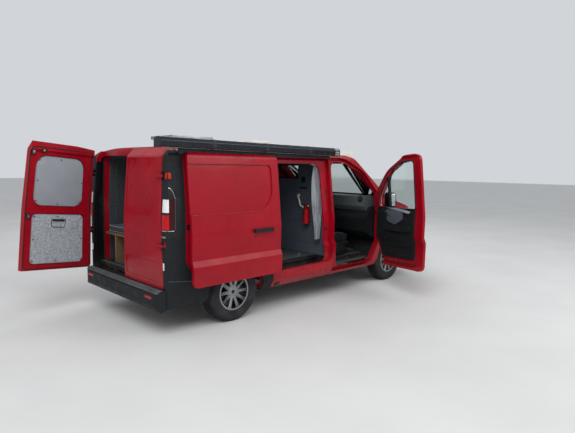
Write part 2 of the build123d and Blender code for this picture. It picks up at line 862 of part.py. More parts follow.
def rim():
    """A rim about Z with its barrel, centre and paired spokes, outer face up."""
    half = TYRE_WIDTH / 2
    barrel = Cylinder(RIM_RADIUS - 8 - SEAT, 2 * half - 36)
    barrel = barrel - Cylinder(RIM_RADIUS - 22, 2 * half)
    lip = Pos(0, 0, half - 14) * (Cylinder(RIM_RADIUS - 8 - SEAT, 8) - Cylinder(RIM_RADIUS - 26, 20))
    centre = Pos(0, 0, 40) * Cylinder(HUB_RADIUS, 42)
    solid = barrel + lip + centre
    spoke_rows = [(30, -20, 0), (RIM_RADIUS - 16, -15, 0), (RIM_RADIUS - 16, 15, 0), (30, 20, 0)]
    slot_rows = [(105, -3, 0), (RIM_RADIUS - 24, -7, 0), (RIM_RADIUS - 24, 7, 0), (105, 3, 0)]
    spoke = extrude(Plane.XY.offset(44) * outline(spoke_rows), amount=26)
    spoke = spoke - extrude(Plane.XY.offset(40) * outline(slot_rows), amount=40)
    for index in range(SPOKE_COUNT):
        solid = solid + Rot(0, 0, index * 360 / SPOKE_COUNT) * spoke
    return solid


def wheel_arches():
    """The inner arches over all four wheels."""
    drums = []
    for axle, inside in ((FRONT_AXLE, FRONT_ROOM_INSIDE), (REAR_AXLE, REAR_ROOM_INSIDE)):
        outer = disc(axle, TYRE_RADIUS, ARCH_ROOM + ARCH_SHELL, inside, 1000)
        inner = disc(axle, TYRE_RADIUS, ARCH_ROOM, inside - 50, 1100)
        drum = outer - inner
        if axle == REAR_AXLE:
            wall = disc(axle, TYRE_RADIUS, ARCH_ROOM + ARCH_SHELL, inside - ARCH_SHELL, inside)
            drum = drum + wall
        low = 415 if axle == FRONT_AXLE else FLOOR_TOP - FLOOR_THICKNESS
        drum = drum & block(axle - 600, axle + 600, 0, 1200, low, 2000)
        if axle == FRONT_AXLE:
            drum = drum & body_form(FRONT_WALL + SEAT)
            drum = drum - (layer(0, WALL + SEAT) & block(1000, 1300 + SEAT, 0, 1200, 0, 2000))
            drum = drum - disc_up(axle - 12, strut_y(735), 95, 600, 900)
        else:
            drum = drum & body_form(WALL + SEAT)
        drums.append(largest(drum))
        drums.append(mirrored(drums[-1]))
    return Compound(drums)


def disc_up(x, y, radius, z0, z1):
    """An upright cylinder."""
    return Pos(x, y, (z0 + z1) / 2) * Cylinder(radius, z1 - z0)


# Steering line: from the lower ball joint up to the strut's top mount, leaning inward
BALL_Y = 742
BALL_Z = 200
ARM_TOP = 198
BALL_RADIUS = 16
STRUT_TOP_Z = 915


def strut_y(height):
    """How far out the steering line is at a height."""
    return BALL_Y - (height - BALL_Z) * tan(radians(STEER_LEAN))


def steer_point(height, side):
    """A point on the steering line of one side."""
    return (FRONT_AXLE, side * strut_y(height), height)


def knuckle(side):
    """A front upright with its hub, strut tube and steering arm."""
    hub_face = TRACK / 2 + 19 - SEAT
    hub = disc(FRONT_AXLE, TYRE_RADIUS, HUB_RADIUS - 4, 738, hub_face)
    post = block(FRONT_AXLE - 32, FRONT_AXLE + 32, 692, 745, 222, 440)
    tube = rod(steer_point(400, LEFT), steer_point(700, LEFT), 26)
    brake = disc(FRONT_AXLE, TYRE_RADIUS, 130, 752, 776)
    arm = block(FRONT_AXLE - 140, FRONT_AXLE - 20, 690, 712, 292, 316)
    solid = hub + post + tube + brake + arm
    ball = Pos(*steer_point(ARM_TOP + SEAT + BALL_RADIUS, LEFT)) * Sphere(BALL_RADIUS)
    solid = solid + ball
    return solid if side == LEFT else mirrored(solid)


def front_suspension():
    """Subframe, lower arms, springs and strut rods."""
    frame = block(1380, 1720, -470, 470, 180, 240)
    frame = frame - block(1440, 1660, -330, 330, 170, 250)
    legs = block(1390, 1450, 400, 460, 240, 380 - SEAT)
    legs = legs + block(1650, 1710, 400, 460, 240, 380 - SEAT)
    arm_rows = [
        (1400, 465, 0),
        (1700, 465, 0),
        (FRONT_AXLE + 34, 640, 40),
        (FRONT_AXLE + 26, BALL_Y + 18, 20),
        (FRONT_AXLE - 26, BALL_Y + 18, 20),
        (FRONT_AXLE - 34, 640, 40),
    ]
    lower = plan_prism(outline(arm_rows), 180, ARM_TOP)
    spring = rod(steer_point(745, LEFT), steer_point(STRUT_TOP_Z + 40, LEFT), 66)
    spring = spring - rod(steer_point(700, LEFT), steer_point(STRUT_TOP_Z - 30, LEFT), 42)
    strut = rod(steer_point(700 + SEAT, LEFT), steer_point(STRUT_TOP_Z, LEFT), 11)
    upper = (spring + strut) & block(1300, 1800, 0, 1200, 0, STRUT_TOP_Z - SEAT)
    side = legs + lower
    return Compound((frame + side + mirrored(side)).solids() + [upper, mirrored(upper)])


def drive_shafts():
    """Both shafts from the gearbox to the front hubs."""
    shaft = disc(FRONT_AXLE, TYRE_RADIUS, 14, 300 + SEAT, 660) + disc(FRONT_AXLE, TYRE_RADIUS, 38, 575, 640)
    return Compound([shaft, mirrored(shaft)])


def rear_axle():
    """The twist beam with its arms, springs, dampers and hubs."""
    beam = block(REAR_AXLE + 180, REAR_AXLE + 270, -560, 560, 300, 360)
    arm_rows = [
        (REAR_AXLE - 60, 300, 20),
        (REAR_AXLE + 420, 330, 20),
        (REAR_AXLE + 520, 400, 20),
        (REAR_AXLE + 520, 440, 20),
        (REAR_AXLE + 420, 400, 20),
        (REAR_AXLE - 60, 372, 20),
    ]
    arm = side_prism(outline(arm_rows), 560, 622)
    spindle = disc(REAR_AXLE, TYRE_RADIUS, HUB_RADIUS - 4, 700, TRACK / 2 + 19 - SEAT)
    neck = disc(REAR_AXLE, TYRE_RADIUS, 45, 600, 720)
    drum = disc(REAR_AXLE, TYRE_RADIUS, 140, 740, 776)
    under = FLOOR_TOP - FLOOR_THICKNESS - SEAT
    spring = disc_up(REAR_AXLE + 225, 530, 55, 355, under)
    hanger = block(REAR_AXLE + 470, REAR_AXLE + 530, 555, 622, 400, under)
    side = arm + spindle + neck + drum + spring + hanger
    return beam + side + mirrored(side)


# Threaded holes in the load floor for lashing eyes
ANCHOR_X = (-960, -160)
ANCHOR_Y = (-580, 320)
ANCHOR_HOLE_RADIUS = 4
ANCHOR_HOLE_DEPTH = 25


# Underbody and engine
def floor_pan():
    """Load floor, lower cab floor, chassis rails, firewall and crossmembers."""
    load = block(-2330, 60, -1000, 1000, FLOOR_TOP - FLOOR_THICKNESS, FLOOR_TOP)
    cab = block(60, 1290, -1000, 1000, 420, 460)
    riser = block(30, 70, -1000, 1000, 420, FLOOR_TOP)
    firewall = block(1290, 1320, -1000, 1000, 420, 1180)
    doors = block(96, 1200, -1200, 1200, 0, 2200)
    pan = (load + cab + riser + firewall) & body_form(WALL + SEAT)
    pan = pan - (doors - body_form(WALL + SHUT_GAP))
    step = block(-1130, 40, -1000, -700, 400, FLOOR_TOP + 10)
    tread = block(-1130, 40, -1000, -700, 400, 430) & body_form(WALL + SEAT)
    pan = pan - step + tread + (block(-1130, 40, -712, -690, 400, FLOOR_TOP) & body_form(WALL))
    for axle, inside in ((FRONT_AXLE, FRONT_ROOM_INSIDE), (REAR_AXLE, REAR_ROOM_INSIDE)):
        room = wheel_room(axle, ARCH_ROOM + ARCH_SHELL + SEAT, inside - ARCH_SHELL - SEAT)
        pan = pan - room
    for side in (LEFT, RIGHT):
        pan = pan + block(-2330, 60, side * 400, side * 470, 400, 510)
        pan = pan + block(30, 2250, side * 400, side * 470, 380, 458)
        leg = block(FRONT_AXLE - 110, FRONT_AXLE + 110, side * 470, side * 482, 380, STRUT_TOP_Z)
        top = block(FRONT_AXLE - 110, FRONT_AXLE + 110, side * 470, side * 700, STRUT_TOP_Z, STRUT_TOP_Z + 12)
        pan = pan + leg + top
    pan = pan + block(-2410, -2330, -800, 800, 380, REAR_SILL) + tow_eye()
    pan = pan + block(2250, 2300, -640, 640, 330, 560)
    for x in ANCHOR_X:
        for y in ANCHOR_Y:
            pan = pan - disc_up(x, y, ANCHOR_HOLE_RADIUS, FLOOR_TOP - ANCHOR_HOLE_DEPTH, FLOOR_TOP + 1)
    return pan


def engine():
    """Engine and gearbox as one plain block."""
    return block(1420, 1960, -300, 300, 240 + SEAT, 900)


def fuel_tank():
    """The tank under the left of the load floor."""
    tank = block(-1000, 20, -385, 385, 290, FLOOR_TOP - FLOOR_THICKNESS - SEAT)
    tank = fillet(tank.edges().filter_by(Axis.X), 40)
    return tank


def exhaust():
    """The exhaust pipe and its silencer, under the floor beside the tank."""
    pipe = rod((1110, 510, 300), (-1200, 510, 300), 28)
    pipe = pipe + rod((1100, 510, 300), (1398, 268, 300), 28)
    hangers = block(-420, -400, 480, 540, 340, FLOOR_TOP - FLOOR_THICKNESS - SEAT)
    hangers = hangers + block(500, 520, 490, 530, 310, 420 - SEAT)
    silencer = block(-800, -200, 440, 600, 255, 375)
    silencer = fillet(silencer.edges().filter_by(Axis.X), 40)
    return pipe + silencer + hangers


# Inside
def dashboard():
    """The dashboard across the cab, hollowed over the footwells."""
    front = 1290 - SEAT
    rows = [(1000, 800, 30), (960, 1020, 60), (1120, 1165, 60), (1500, 1232, 0), (1500, 1206, 0)]
    rows = rows + [(front, 1181 + SEAT, 0), (front, 620, 0), (1150, 700, 40)]
    dash = side_prism(outline(rows), -1000, 1000) & body_form(WALL + 26)
    dash = dash - wheel_room(FRONT_AXLE, ARCH_ROOM + ARCH_SHELL + 4, FRONT_ROOM_INSIDE - 12)
    column = wheel_place() * Pos(0, 0, -WHEEL_HUB_BACK - SEAT - 125) * Cylinder(34, 250)
    return largest(dash + column)


WHEEL_CENTRE = (905, 410, 1020)
WHEEL_TILT = 28
WHEEL_HUB_BACK = 36


def wheel_place():
    """Where the steering wheel is: its own Z looks at the driver."""
    return Pos(*WHEEL_CENTRE) * Rot(0, WHEEL_TILT - 90, 0)


def steering_wheel():
    """The steering wheel on its column."""
    rim_ring = Torus(185, 15)
    spokes = Box(340, 40, 16) + Pos(0, -85, 0) * Box(40, 170, 16)
    hub = Pos(0, 0, (8 - WHEEL_HUB_BACK) / 2) * Cylinder(55, WHEEL_HUB_BACK + 8)
    wheel = rim_ring + spokes + hub
    return wheel_place() * Rot(0, 0, -90) * wheel


def seat(side):
    """A cab seat on its box."""
    rows = [
        (300, 460 + SEAT, 0),
        (760, 460 + SEAT, 0),
        (760, 660, 20),
        (820, 790, 60),
        (430, 800, 80),
        (330, 1420, 60),
        (200, 1420, 60),
        (215, 900, 60),
        (290, 700, 20),
    ]
    wide = (160, 660) if side == LEFT else (-700, 60)
    base = side_prism(outline(rows), wide[0], wide[1])
    middles = (410,) if side == LEFT else (-130, -500)
    for middle in middles:
        rest_rows = [(205, 1415, 0), (300, 1415, 0), (285, 1600, 40), (200, 1600, 40)]
        base = base + side_prism(outline(rest_rows), middle - 120, middle + 120)
    return base


def bulkhead():
    """The partition behind the cab, with its small window."""
    wall = block(70 + SEAT, 94, -1000, 1000, 470, 2000) & body_form(WALL + LINING + SEAT)
    return largest(wall - block(0, 200, -330, 100, 1600, 1790))


def wall_lining():
    """The grey lining of the load space: left wall, right quarter and roof."""
    room = block(-2190, 68, -1200, 1200, FLOOR_TOP + SEAT, 2100)
    lining = layer(WALL + SEAT, WALL + LINING) & room
    lining = lining - wheel_room(REAR_AXLE, ARCH_ROOM + ARCH_SHELL + SEAT, 500)
    lining = lining - door_prism(SLIDE_PLUG_ROWS, RIGHT, 30)
    lining = lining - block(-1160, 70, -860, -735, 1780, 1900)
    return largest(lining)


def bed():
    """The bed base across the back on its side boards."""
    deck = block(-2260, -1180, -800, 800, 900, 918)
    board = block(-2260, -1180, 542, 560, FLOOR_TOP + SEAT, 900)
    return deck + board + mirrored(board)


def mattress():
    """The mattress on the bed base."""
    pad = block(-2250, -1190, -790, 790, 918 + SEAT, 1020)
    return fillet(pad.edges().filter_by(Axis.Z), 40)


def kitchen():
    """The cupboard along the left wall, ahead of the bed."""
    unit = block(-1160, 60, 440, 1000, FLOOR_TOP + SEAT, 1010) & body_form(WALL + LINING + 2 * SEAT)
    top = block(-1170, 66, 425, 1000, 1010, 1032) & body_form(WALL + LINING + 2 * SEAT)
    gaps = block(-1140, -580, 430, 446, 580, 1000) + block(-560, 40, 430, 446, 580, 1000)
    return largest(unit + top - gaps)


def curtain():
    """The gathered curtain at the front of the side opening."""
    low, high = 780, 1790
    rows = [(-155, high, 0), (70, high, 0), (70, 1100, 0), (45, low, 0), (-110, low, 0), (-150, 1100, 60)]
    return side_prism(outline(rows), -800, -760)


def fire_extinguisher():
    """The extinguisher on the partition's rear face."""
    bottle = disc_up(14, -546, 46, 980, 1180) + disc_up(14, -546, 18, 1180, 1210)
    head = block(-14, 40, -566, -520, 1210, 1238)
    bracket = block(40, 70, -566, -526, 1060, 1090)
    return bottle + head + bracket


# Roof load
def awning():
    """The wound-in awning along the right gutter, lower in front, on its rail."""
    rear_end, front_end, tilt = -2530, 165, 0.6
    rows = [(-985, 1945, 20), (-870, 1945, 10), (-850, 1975, 20)]
    rows = rows + [(-862, 2040, 30), (-960, 2050, 40), (-992, 2010, 30)]
    case = end_prism(outline(rows), rear_end, front_end)
    case = Pos(rear_end, 0, 0) * Rot(0, tilt, 0) * Pos(-rear_end, 0, 0) * case
    rail = block(-2240, 120, -868, -852, 1880, 1965)
    foot = layer(-5, -SEAT) & block(-2240, 120, -868, -775, 1880, 2000)
    return case + (rail - body_form(-SEAT)) + foot


def solar_panel():
    """The flat solar panel on its feet."""
    panel = block(-2050, -1500, -430, 20, 2064, 2095)
    for x in (-2000, -1550):
        for y in (-390, -20):
            panel = panel + block(x - 30, x + 30, y - 20, y + 20, 1930, 2066)
    return panel - body_form(-SEAT)


def roof_vent():
    """The roof vent and the low cream housing ahead of it."""
    vent = block(-730, -450, -260, 20, 1940, 2095)
    front_rows = [(330, 1850, 0), (330, 1994, 20), (735, 2001, 20), (735, 1800, 0)]
    front = side_prism(outline(front_rows), -780, 200)
    return Compound([vent - body_form(-SEAT), front - body_form(-SEAT)])


def rear_bumper():
    """The black step bumper."""
    rows = [
        (TAIL, 452, 15),
        (TAIL + 50, 487, 0),
        (DOOR_PLANE - SEAT, 487, 0),
        (DOOR_PLANE - SEAT, BODY_BOTTOM, 0),
        (TAIL + 40, 262, 30),
        (TAIL, 330, 30),
    ]
    plan_rows = [(DOOR_PLANE, 890, 0), (TAIL + 30, 880, 30), (TAIL, 800, 60)]
    return side_prism(outline(rows), -1000, 1000) & plan_prism(outline(both_sides(plan_rows)), 0, 800)


def tow_eye():
    """The rear towing eye under the crossmember."""
    plate = block(-2400, -2350, -437, -423, 270, 390) + disc(-2375, 270, 38, -437, -423)
    return plate - disc(-2375, 262, TOW_EYE_RADIUS, -450, -410)


def set_in_van(shape):
    """Moves a piece from the drawing's zero to the stored one."""
    return Pos(-STORED_ZERO[0], -STORED_ZERO[1], -STORED_ZERO[2]) * shape


def swung(shape, root, axis, angle):
    """A piece turned about a leaning hinge line."""
    return shape.rotate(Axis(root, axis), angle)


def rear_pose(shape):
    """The left rear door's stored pose."""
    axis = lean_axis(LEFT, REAR_LEAN_FORWARD, REAR_LEAN_INWARD)
    return swung(shape, rear_hinge_root(LEFT), axis, -REAR_DOOR_OPEN)


def front_pose(shape):
    """The right front door's stored pose."""
    axis = lean_axis(RIGHT, 0, FRONT_LEAN_INWARD)
    return swung(shape, front_hinge_root(RIGHT), axis, FRONT_DOOR_OPEN)


def slide_pose(shape):
    """The sliding door's stored pose: back and out."""
    return Pos(-SLIDE_TRAVEL, -SLIDE_STANDOFF, 0) * shape


def pieces():
    """Every node's name and solid."""
    yield "floor_pan", floor_pan()
    yield "body_side_left", body_side(LEFT)
    yield "body_side_right", body_side(RIGHT)
    yield "roof_panel", roof_panel()
    yield "rear_corners", rear_corners()
    yield "front_wings", front_wings()
    yield "bonnet", bonnet()
    yield "front_bumper", front_bumper()
    yield "grille", grille()
    yield "head_lamps", head_lamps()
    yield "tail_lamps", tail_lamps()
    yield "cowl", cowl()
    yield "windscreen", windscreen()
    yield "rear_bumper", rear_bumper()
    yield "wheel_arches", wheel_arches()
    yield "engine_block", engine()
    yield "front_suspension", front_suspension()
    yield "drive_shafts", drive_shafts()
    yield "rear_axle", rear_axle()
    yield "fuel_tank", fuel_tank()
    yield "exhaust", exhaust()
    yield "dashboard", dashboard()
    yield "steering_wheel", steering_wheel()
    yield "bulkhead", bulkhead()
    yield "wall_lining", wall_lining()
    yield "bed_base", bed()
    yield "mattress", mattress()
    yield "kitchen_unit", kitchen()
    yield "curtain", curtain()
    yield "fire_extinguisher", fire_extinguisher()
    yield "awning", awning()
    yield "solar_panel", solar_panel()
    yield "roof_vent", roof_vent()
    yield "sliding_door", slide_pose(sliding_door())
    yield "slide_gear", slide_gear()
    for side, name in ((LEFT, "left"), (RIGHT, "right")):
        pose_front = front_pose if side == RIGHT else (lambda shape: shape)
        pose_rear = rear_pose if side == LEFT else (lambda shape: shape)
        yield "seat_" + name, seat(side)
        yield "knuckle_" + name, knuckle(side)
        yield "front_door_" + name, pose_front(front_door(side))
        yield "front_glass_" + name, pose_front(front_door_glass(side))
        yield "front_card_" + name, pose_front(front_door_card(side))
        yield "mirror_" + name, pose_front(mirror_housing(side))
        yield "rear_door_" + name, pose_rear(rear_door(side))
        yield "rear_boards_" + name, pose_rear(rear_door_cards(side))
        for axle, place in ((FRONT_AXLE, "front"), (REAR_AXLE, "rear")):
            yield f"tyre_{place}_{name}", wheel_pose(axle, side) * tyre()
            yield f"rim_{place}_{name}", wheel_pose(axle, side) * rim()


for node, shape in pieces():
    export_step(set_in_van(shape), "parts/" + node + ".step")
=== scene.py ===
import json
import math

import bmesh
import bpy
from mathutils import Matrix, Vector
from mathutils.bvhtree import BVHTree


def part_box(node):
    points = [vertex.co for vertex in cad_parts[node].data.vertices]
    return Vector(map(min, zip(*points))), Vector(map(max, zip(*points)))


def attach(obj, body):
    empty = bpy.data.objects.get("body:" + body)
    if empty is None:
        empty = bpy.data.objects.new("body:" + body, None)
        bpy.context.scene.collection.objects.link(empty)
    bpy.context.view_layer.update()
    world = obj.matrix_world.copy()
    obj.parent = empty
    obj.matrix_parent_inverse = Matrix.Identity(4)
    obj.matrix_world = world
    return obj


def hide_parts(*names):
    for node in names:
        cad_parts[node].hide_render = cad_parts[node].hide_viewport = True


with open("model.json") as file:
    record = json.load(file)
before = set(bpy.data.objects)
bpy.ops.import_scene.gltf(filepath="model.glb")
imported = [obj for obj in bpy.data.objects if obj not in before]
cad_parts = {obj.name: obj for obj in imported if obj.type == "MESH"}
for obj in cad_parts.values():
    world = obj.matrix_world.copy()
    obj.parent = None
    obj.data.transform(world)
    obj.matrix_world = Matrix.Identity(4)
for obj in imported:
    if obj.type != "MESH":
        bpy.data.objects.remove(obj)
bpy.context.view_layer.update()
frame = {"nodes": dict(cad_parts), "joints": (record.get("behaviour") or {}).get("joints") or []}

# Places are given in millimetres on the van: +X forward, +Y left, +Z up, zero on the floor
# midway between the axles, doors shut. The frame is in metres, with its own zero.
MM = 0.001
RIGHT, LEFT = -1, 1
SIDES = (("left", LEFT), ("right", RIGHT))
UP, REARWARD = (0, 0, 1), (-1, 0, 0)


def wheel_centre(place):
    """The middle of one wheel, in the frame."""
    low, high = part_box("tyre_" + place)
    return (low + high) / 2


WHEELS = {
    place: wheel_centre(place)
    for place in ("front_left", "front_right", "rear_left", "rear_right")
}
AXLE = (WHEELS["front_left"].x - WHEELS["rear_left"].x) / 2 / MM
ZERO = Vector((
    (WHEELS["front_left"].x + WHEELS["rear_left"].x) / 2,
    (WHEELS["front_left"].y + WHEELS["front_right"].y) / 2,
    0,
))
SLIDE_TRAVEL, SLIDE_STANDOFF = 1030, 86
REAR_DOOR_OPEN, FRONT_DOOR_OPEN = 82, 68


def van(x, y, z):
    """A point on the van, in the frame."""
    return ZERO + Vector((x, y, z)) * MM


def on_van(spot):
    """A point of the frame, in millimetres on the van."""
    return [(a - b) / MM for a, b in zip(spot, ZERO)]


def turn_about(name, degrees):
    """The turn about a joint's own line."""
    found = next(j for j in frame["joints"] if j["name"] == name)
    place = Matrix.Translation(Vector(found["pos_m"]))
    return place @ Matrix.Rotation(math.radians(degrees), 4, Vector(found["axis"])) @ place.inverted()


# How each open door got from shut to where it stands
POSES = {
    "rear_door_left": turn_about("rear_door_left_hinge", -REAR_DOOR_OPEN),
    "front_door_right": turn_about("front_door_right_hinge", FRONT_DOOR_OPEN),
    "sliding_door": Matrix.Translation(Vector((-SLIDE_TRAVEL, -SLIDE_STANDOFF, 0)) * MM),
}


def pose_of(part):
    """The matrix that takes a piece from its shut place to its stored one."""
    return POSES.get(part, Matrix.Identity(4))


def surface(*nodes, part=""):
    """The surface of CAD nodes, with their door shut, to lay trim on."""
    verts, faces = [], []
    back = pose_of(part).inverted()
    for name in nodes:
        data = frame["nodes"][name].data
        start = len(verts)
        verts += [back @ v.co for v in data.vertices]
        faces += [[start + i for i in p.vertices] for p in data.polygons]
    return BVHTree.FromPolygons(verts, faces)


# Shader helpers
MATERIALS = {}


def set_values(made, values):
    """Sets a shader node's inputs or settings; an underscore stands for an input's space."""
    for key, value in values.items():
        title = key.replace("_", " ")
        if title in made.inputs:
            made.inputs[title].default_value = value
        else:
            setattr(made, key, value)


def new_material(name, **values):
    """A node material with its Principled shader, kept by its name."""
    made = bpy.data.materials.new(name)
    made.use_nodes = True
    MATERIALS[name] = made
    shader = made.node_tree.nodes["Principled BSDF"]
    set_values(shader, values)
    return made.node_tree, shader


def node(tree, kind, **values):
    """A shader node with some of its inputs or settings."""
    made = tree.nodes.new("ShaderNode" + kind)
    set_values(made, values)
    return made


def feed(tree, socket, value):
    """Links a socket to another's output, or sets it."""
    if hasattr(value, "is_output"):
        tree.links.new(value, socket)
    else:
        socket.default_value = value


def colour_of(value):
    """A colour or a grey, with its alpha."""
    return (*value, 1) if hasattr(value, "__len__") else (value, value, value, 1)


def noise(tree, scale, detail=4.0, roughness=0.55, stretch=None):
    """Noise in the object's own metres, stretched if asked."""
    made = node(tree, "TexNoise", Scale=scale, Detail=detail, Roughness=roughness)
    source = node(tree, "TexCoord").outputs["Object"]
    if stretch:
        mapping = node(tree, "Mapping", Scale=stretch)
        tree.links.new(source, mapping.inputs["Vector"])
        source = mapping.outputs["Vector"]
    tree.links.new(source, made.inputs["Vector"])
    return made.outputs["Fac"]


def ramp(tree, source, low, high, start=0.35, end=0.65):
    """Two colours or greys blended along a value."""
    made = node(tree, "ValToRGB")
    for element, position, value in zip(made.color_ramp.elements, (start, end), (low, high)):
        element.position = position
        element.color = colour_of(value)
    tree.links.new(source, made.inputs["Fac"])
    return made.outputs["Color"]


def blotched(colour, low, high):
    """A colour darkened and lightened, for the two ends of a ramp."""
    return [c * low for c in colour], [min(1, c * high) for c in colour]


def bump(tree, shader, source, distance, strength=1.0, before=None):
    """Bump from a height, in metres, on top of an earlier one."""
    made = node(tree, "Bump", Strength=strength, Distance=distance)
    tree.links.new(source, made.inputs["Height"])
    if before:
        tree.links.new(before, made.inputs["Normal"])
    tree.links.new(made.outputs["Normal"], shader.inputs["Normal"])
    return made.outputs["Normal"]


def coordinate(tree, axis):
    """One coordinate of the object, in metres."""
    split = node(tree, "SeparateXYZ")
    tree.links.new(node(tree, "TexCoord").outputs["Object"], split.inputs["Vector"])
    return split.outputs[axis]


def height_fade(tree, low, high):
    """1 at and below a height of low metres, 0 at and above high."""
    made = node(tree, "MapRange", From_Min=low, From_Max=high, To_Min=1, To_Max=0)
    tree.links.new(coordinate(tree, "Z"), made.inputs["Value"])
    return made.outputs["Result"]


def math_node(tree, operation, first, second):
    """Two values put through an operation."""
    made = node(tree, "Math", operation=operation)
    feed(tree, made.inputs[0], first)
    feed(tree, made.inputs[1], second)
    return made.outputs[0]


def mixed(tree, factor, first, second):
    """Two colours mixed by a factor; the first is a socket."""
    made = node(tree, "Mix", data_type="RGBA")
    tree.links.new(factor, made.inputs["Factor"])
    for socket, value in ((made.inputs[6], first), (made.inputs[7], second)):
        feed(tree, socket, value if hasattr(value, "is_output") else colour_of(value))
    return made.outputs[2]


# Materials. Colours are linear, and lengths of grain and bump in metres.
JAMB_BLACK = (0.006, 0.006, 0.007)
ROAD_DUST = (0.30, 0.22, 0.17)
DUST_LOW, DUST_HIGH = 0.28, 0.7


def paint(name, colour, dusty=0.1, rough=0.3, black_behind=None):
    """Car paint: colour, clear coat, faint orange peel, road dust low down, and black rear jambs if asked."""
    tree, shader = new_material(name, Coat_Weight=0.12, Coat_Roughness=0.06, Specular_IOR_Level=0.16)
    blotch = ramp(tree, noise(tree, 2.2), *blotched(colour, 0.9, 1.08))
    if black_behind is not None:
        behind = math_node(tree, "LESS_THAN", coordinate(tree, "X"), black_behind)
        blotch = mixed(tree, behind, blotch, JAMB_BLACK)
    patches = ramp(tree, noise(tree, 9, 8), 0.15, 1.0, 0.3, 0.75)
    grime = math_node(tree, "MULTIPLY", height_fade(tree, DUST_LOW, DUST_HIGH), patches)
    dust = math_node(tree, "MULTIPLY", grime, dusty)
    tree.links.new(mixed(tree, dust, blotch, ROAD_DUST), shader.inputs["Base Color"])
    tree.links.new(ramp(tree, noise(tree, 5, 6), rough - 0.06, rough + 0.12), shader.inputs["Roughness"])
    bump(tree, shader, noise(tree, 420, 2), 0.00004, 0.5)


def plastic(name, colour, rough=0.6, grain=700.0, depth=0.0002, fade=1.5):
    """Moulded plastic with a fine grain and faded patches."""
    tree, shader = new_material(name, Specular_IOR_Level=0.25)
    patches = ramp(tree, noise(tree, 6, 6), *blotched(colour, 1, fade), 0.35, 0.8)
    tree.links.new(patches, shader.inputs["Base Color"])
    tree.links.new(ramp(tree, noise(tree, 14, 5), rough - 0.08, rough + 0.1), shader.inputs["Roughness"])
    bump(tree, shader, noise(tree, grain, 2), depth, 0.6)


def metal(name, colour, rough=0.35, depth=0.00005):
    """Metal with a fine grain."""
    tree, shader = new_material(name, Metallic=1.0)
    grain = noise(tree, 60, 8)
    tree.links.new(ramp(tree, grain, *blotched(colour, 0.8, 1)), shader.inputs["Base Color"])
    tree.links.new(ramp(tree, noise(tree, 18, 6), rough - 0.1, rough + 0.12), shader.inputs["Roughness"])
    bump(tree, shader, grain, depth, 0.5)


def glass(name, colour, rough=0.02):
    """Car glass: clear to the light, with a faint tint."""
    tree, shader = new_material(name, Base_Color=(*colour, 1), Transmission_Weight=1.0, IOR=1.45)
    tree.links.new(ramp(tree, noise(tree, 12, 6), rough, rough + 0.04), shader.inputs["Roughness"])


def cloth(name, colour, weave=900.0, depth=0.0004, spread=1.25, fuzz=0.3, fold_shade_streaks=None):
    """Woven or needled cloth: crossed threads, mottled colour, long dark streaks of painted fold shade when
    asked, and a soft sheen.
    """
    tree, shader = new_material(
        name, Roughness=0.95, Specular_IOR_Level=0.15, Sheen_Weight=fuzz, Sheen_Roughness=0.5
    )
    # Streaks stretch the noise along the height and darken it further: painted shade for the shadows between
    # the folds
    patches = noise(tree, 55, 6, stretch=fold_shade_streaks)
    mottle_and_fold_shade = ramp(tree, patches, *blotched(colour, 0.5 if fold_shade_streaks else 0.82, spread))
    tree.links.new(mottle_and_fold_shade, shader.inputs["Base Color"])
    across = noise(tree, weave, 2, stretch=(1, 1, 0.12))
    along = noise(tree, weave, 2, stretch=(0.12, 0.12, 1))
    first = bump(tree, shader, across, depth, 0.7)
    bump(tree, shader, along, depth, 0.7, before=first)


def wood(name, light, dark):
    """Sealed plywood: long grain and a thin varnish."""
    tree, shader = new_material(name)
    grain = noise(tree, 22, 8, stretch=(0.35, 6, 6))
    tree.links.new(ramp(tree, grain, dark, light, 0.3, 0.7), shader.inputs["Base Color"])
    tree.links.new(ramp(tree, grain, 0.42, 0.6), shader.inputs["Roughness"])
    bump(tree, shader, grain, 0.0003, 0.4)


RED = (0.30, 0.0020, 0.0105)
# Where the black of the rear jambs begins, as X on the van
JAMB_FRONT = -2268
paint("red_paint", RED)
paint("side_paint", RED, black_behind=van(JAMB_FRONT, 0, 0).x)
paint("hinge_red", (0.42, 0.02, 0.008), 0.0)
paint("black_paint", (0.012, 0.012, 0.014), 0.2)
paint("extinguisher_red", (0.45, 0.006, 0.010), 0.0)
plastic("black_plastic", (0.0075, 0.0095, 0.0115), fade=1.25)
plastic("step_plastic", (0.08, 0.083, 0.085), 0.6, 160, 0.0012, 1.7)
plastic("dark_plastic", (0.010, 0.011, 0.012), 0.5)
plastic("grey_plastic", (0.075, 0.085, 0.088), 0.6, 500, 0.0003, 1.2)
plastic("dash_black", (0.006, 0.008, 0.009), 0.6, 500, 0.0003, 1.3)
plastic("dash_grey", (0.075, 0.09, 0.09), 0.6, 500, 0.0003, 1.2)
plastic("board_grey", (0.27, 0.29, 0.315), 0.55, 300, 0.0001, 1.12)
plastic("panel_grey", (0.075, 0.09, 0.115), 0.5, 300, 0.0002, 1.2)
plastic("cream_plastic", (0.70, 0.68, 0.60), 0.4, 300, 0.0001, 1.1)
plastic("rubber", (0.010, 0.010, 0.010), 0.75, 900, 0.0002, 1.8)
plastic("tyre_rubber", (0.016, 0.016, 0.017), 0.82, 350, 0.0005, 2.6)
plastic("solar", (0.012, 0.016, 0.032), 0.12, 300, 0.00002, 1.4)
plastic("lens_red", (0.42, 0.006, 0.010), 0.15, 90, 0.0003, 1.25)
plastic("lens_dark", (0.035, 0.004, 0.006), 0.15, 90, 0.0003, 1.25)
plastic("lens_white", (0.72, 0.72, 0.70), 0.15, 90, 0.0003, 1.1)
plastic("lens_amber", (0.75, 0.22, 0.02), 0.18, 90, 0.0003, 1.1)
plastic("floor_vinyl", (0.06, 0.062, 0.065), 0.55, 220, 0.0005, 1.4)
metal("alloy", (0.36, 0.37, 0.39), 0.38)
metal("bright_metal", (0.62, 0.63, 0.65), 0.25)
metal("chrome", (0.78, 0.79, 0.8), 0.1)
metal("dark_metal", (0.07, 0.07, 0.075), 0.5, 0.0002)
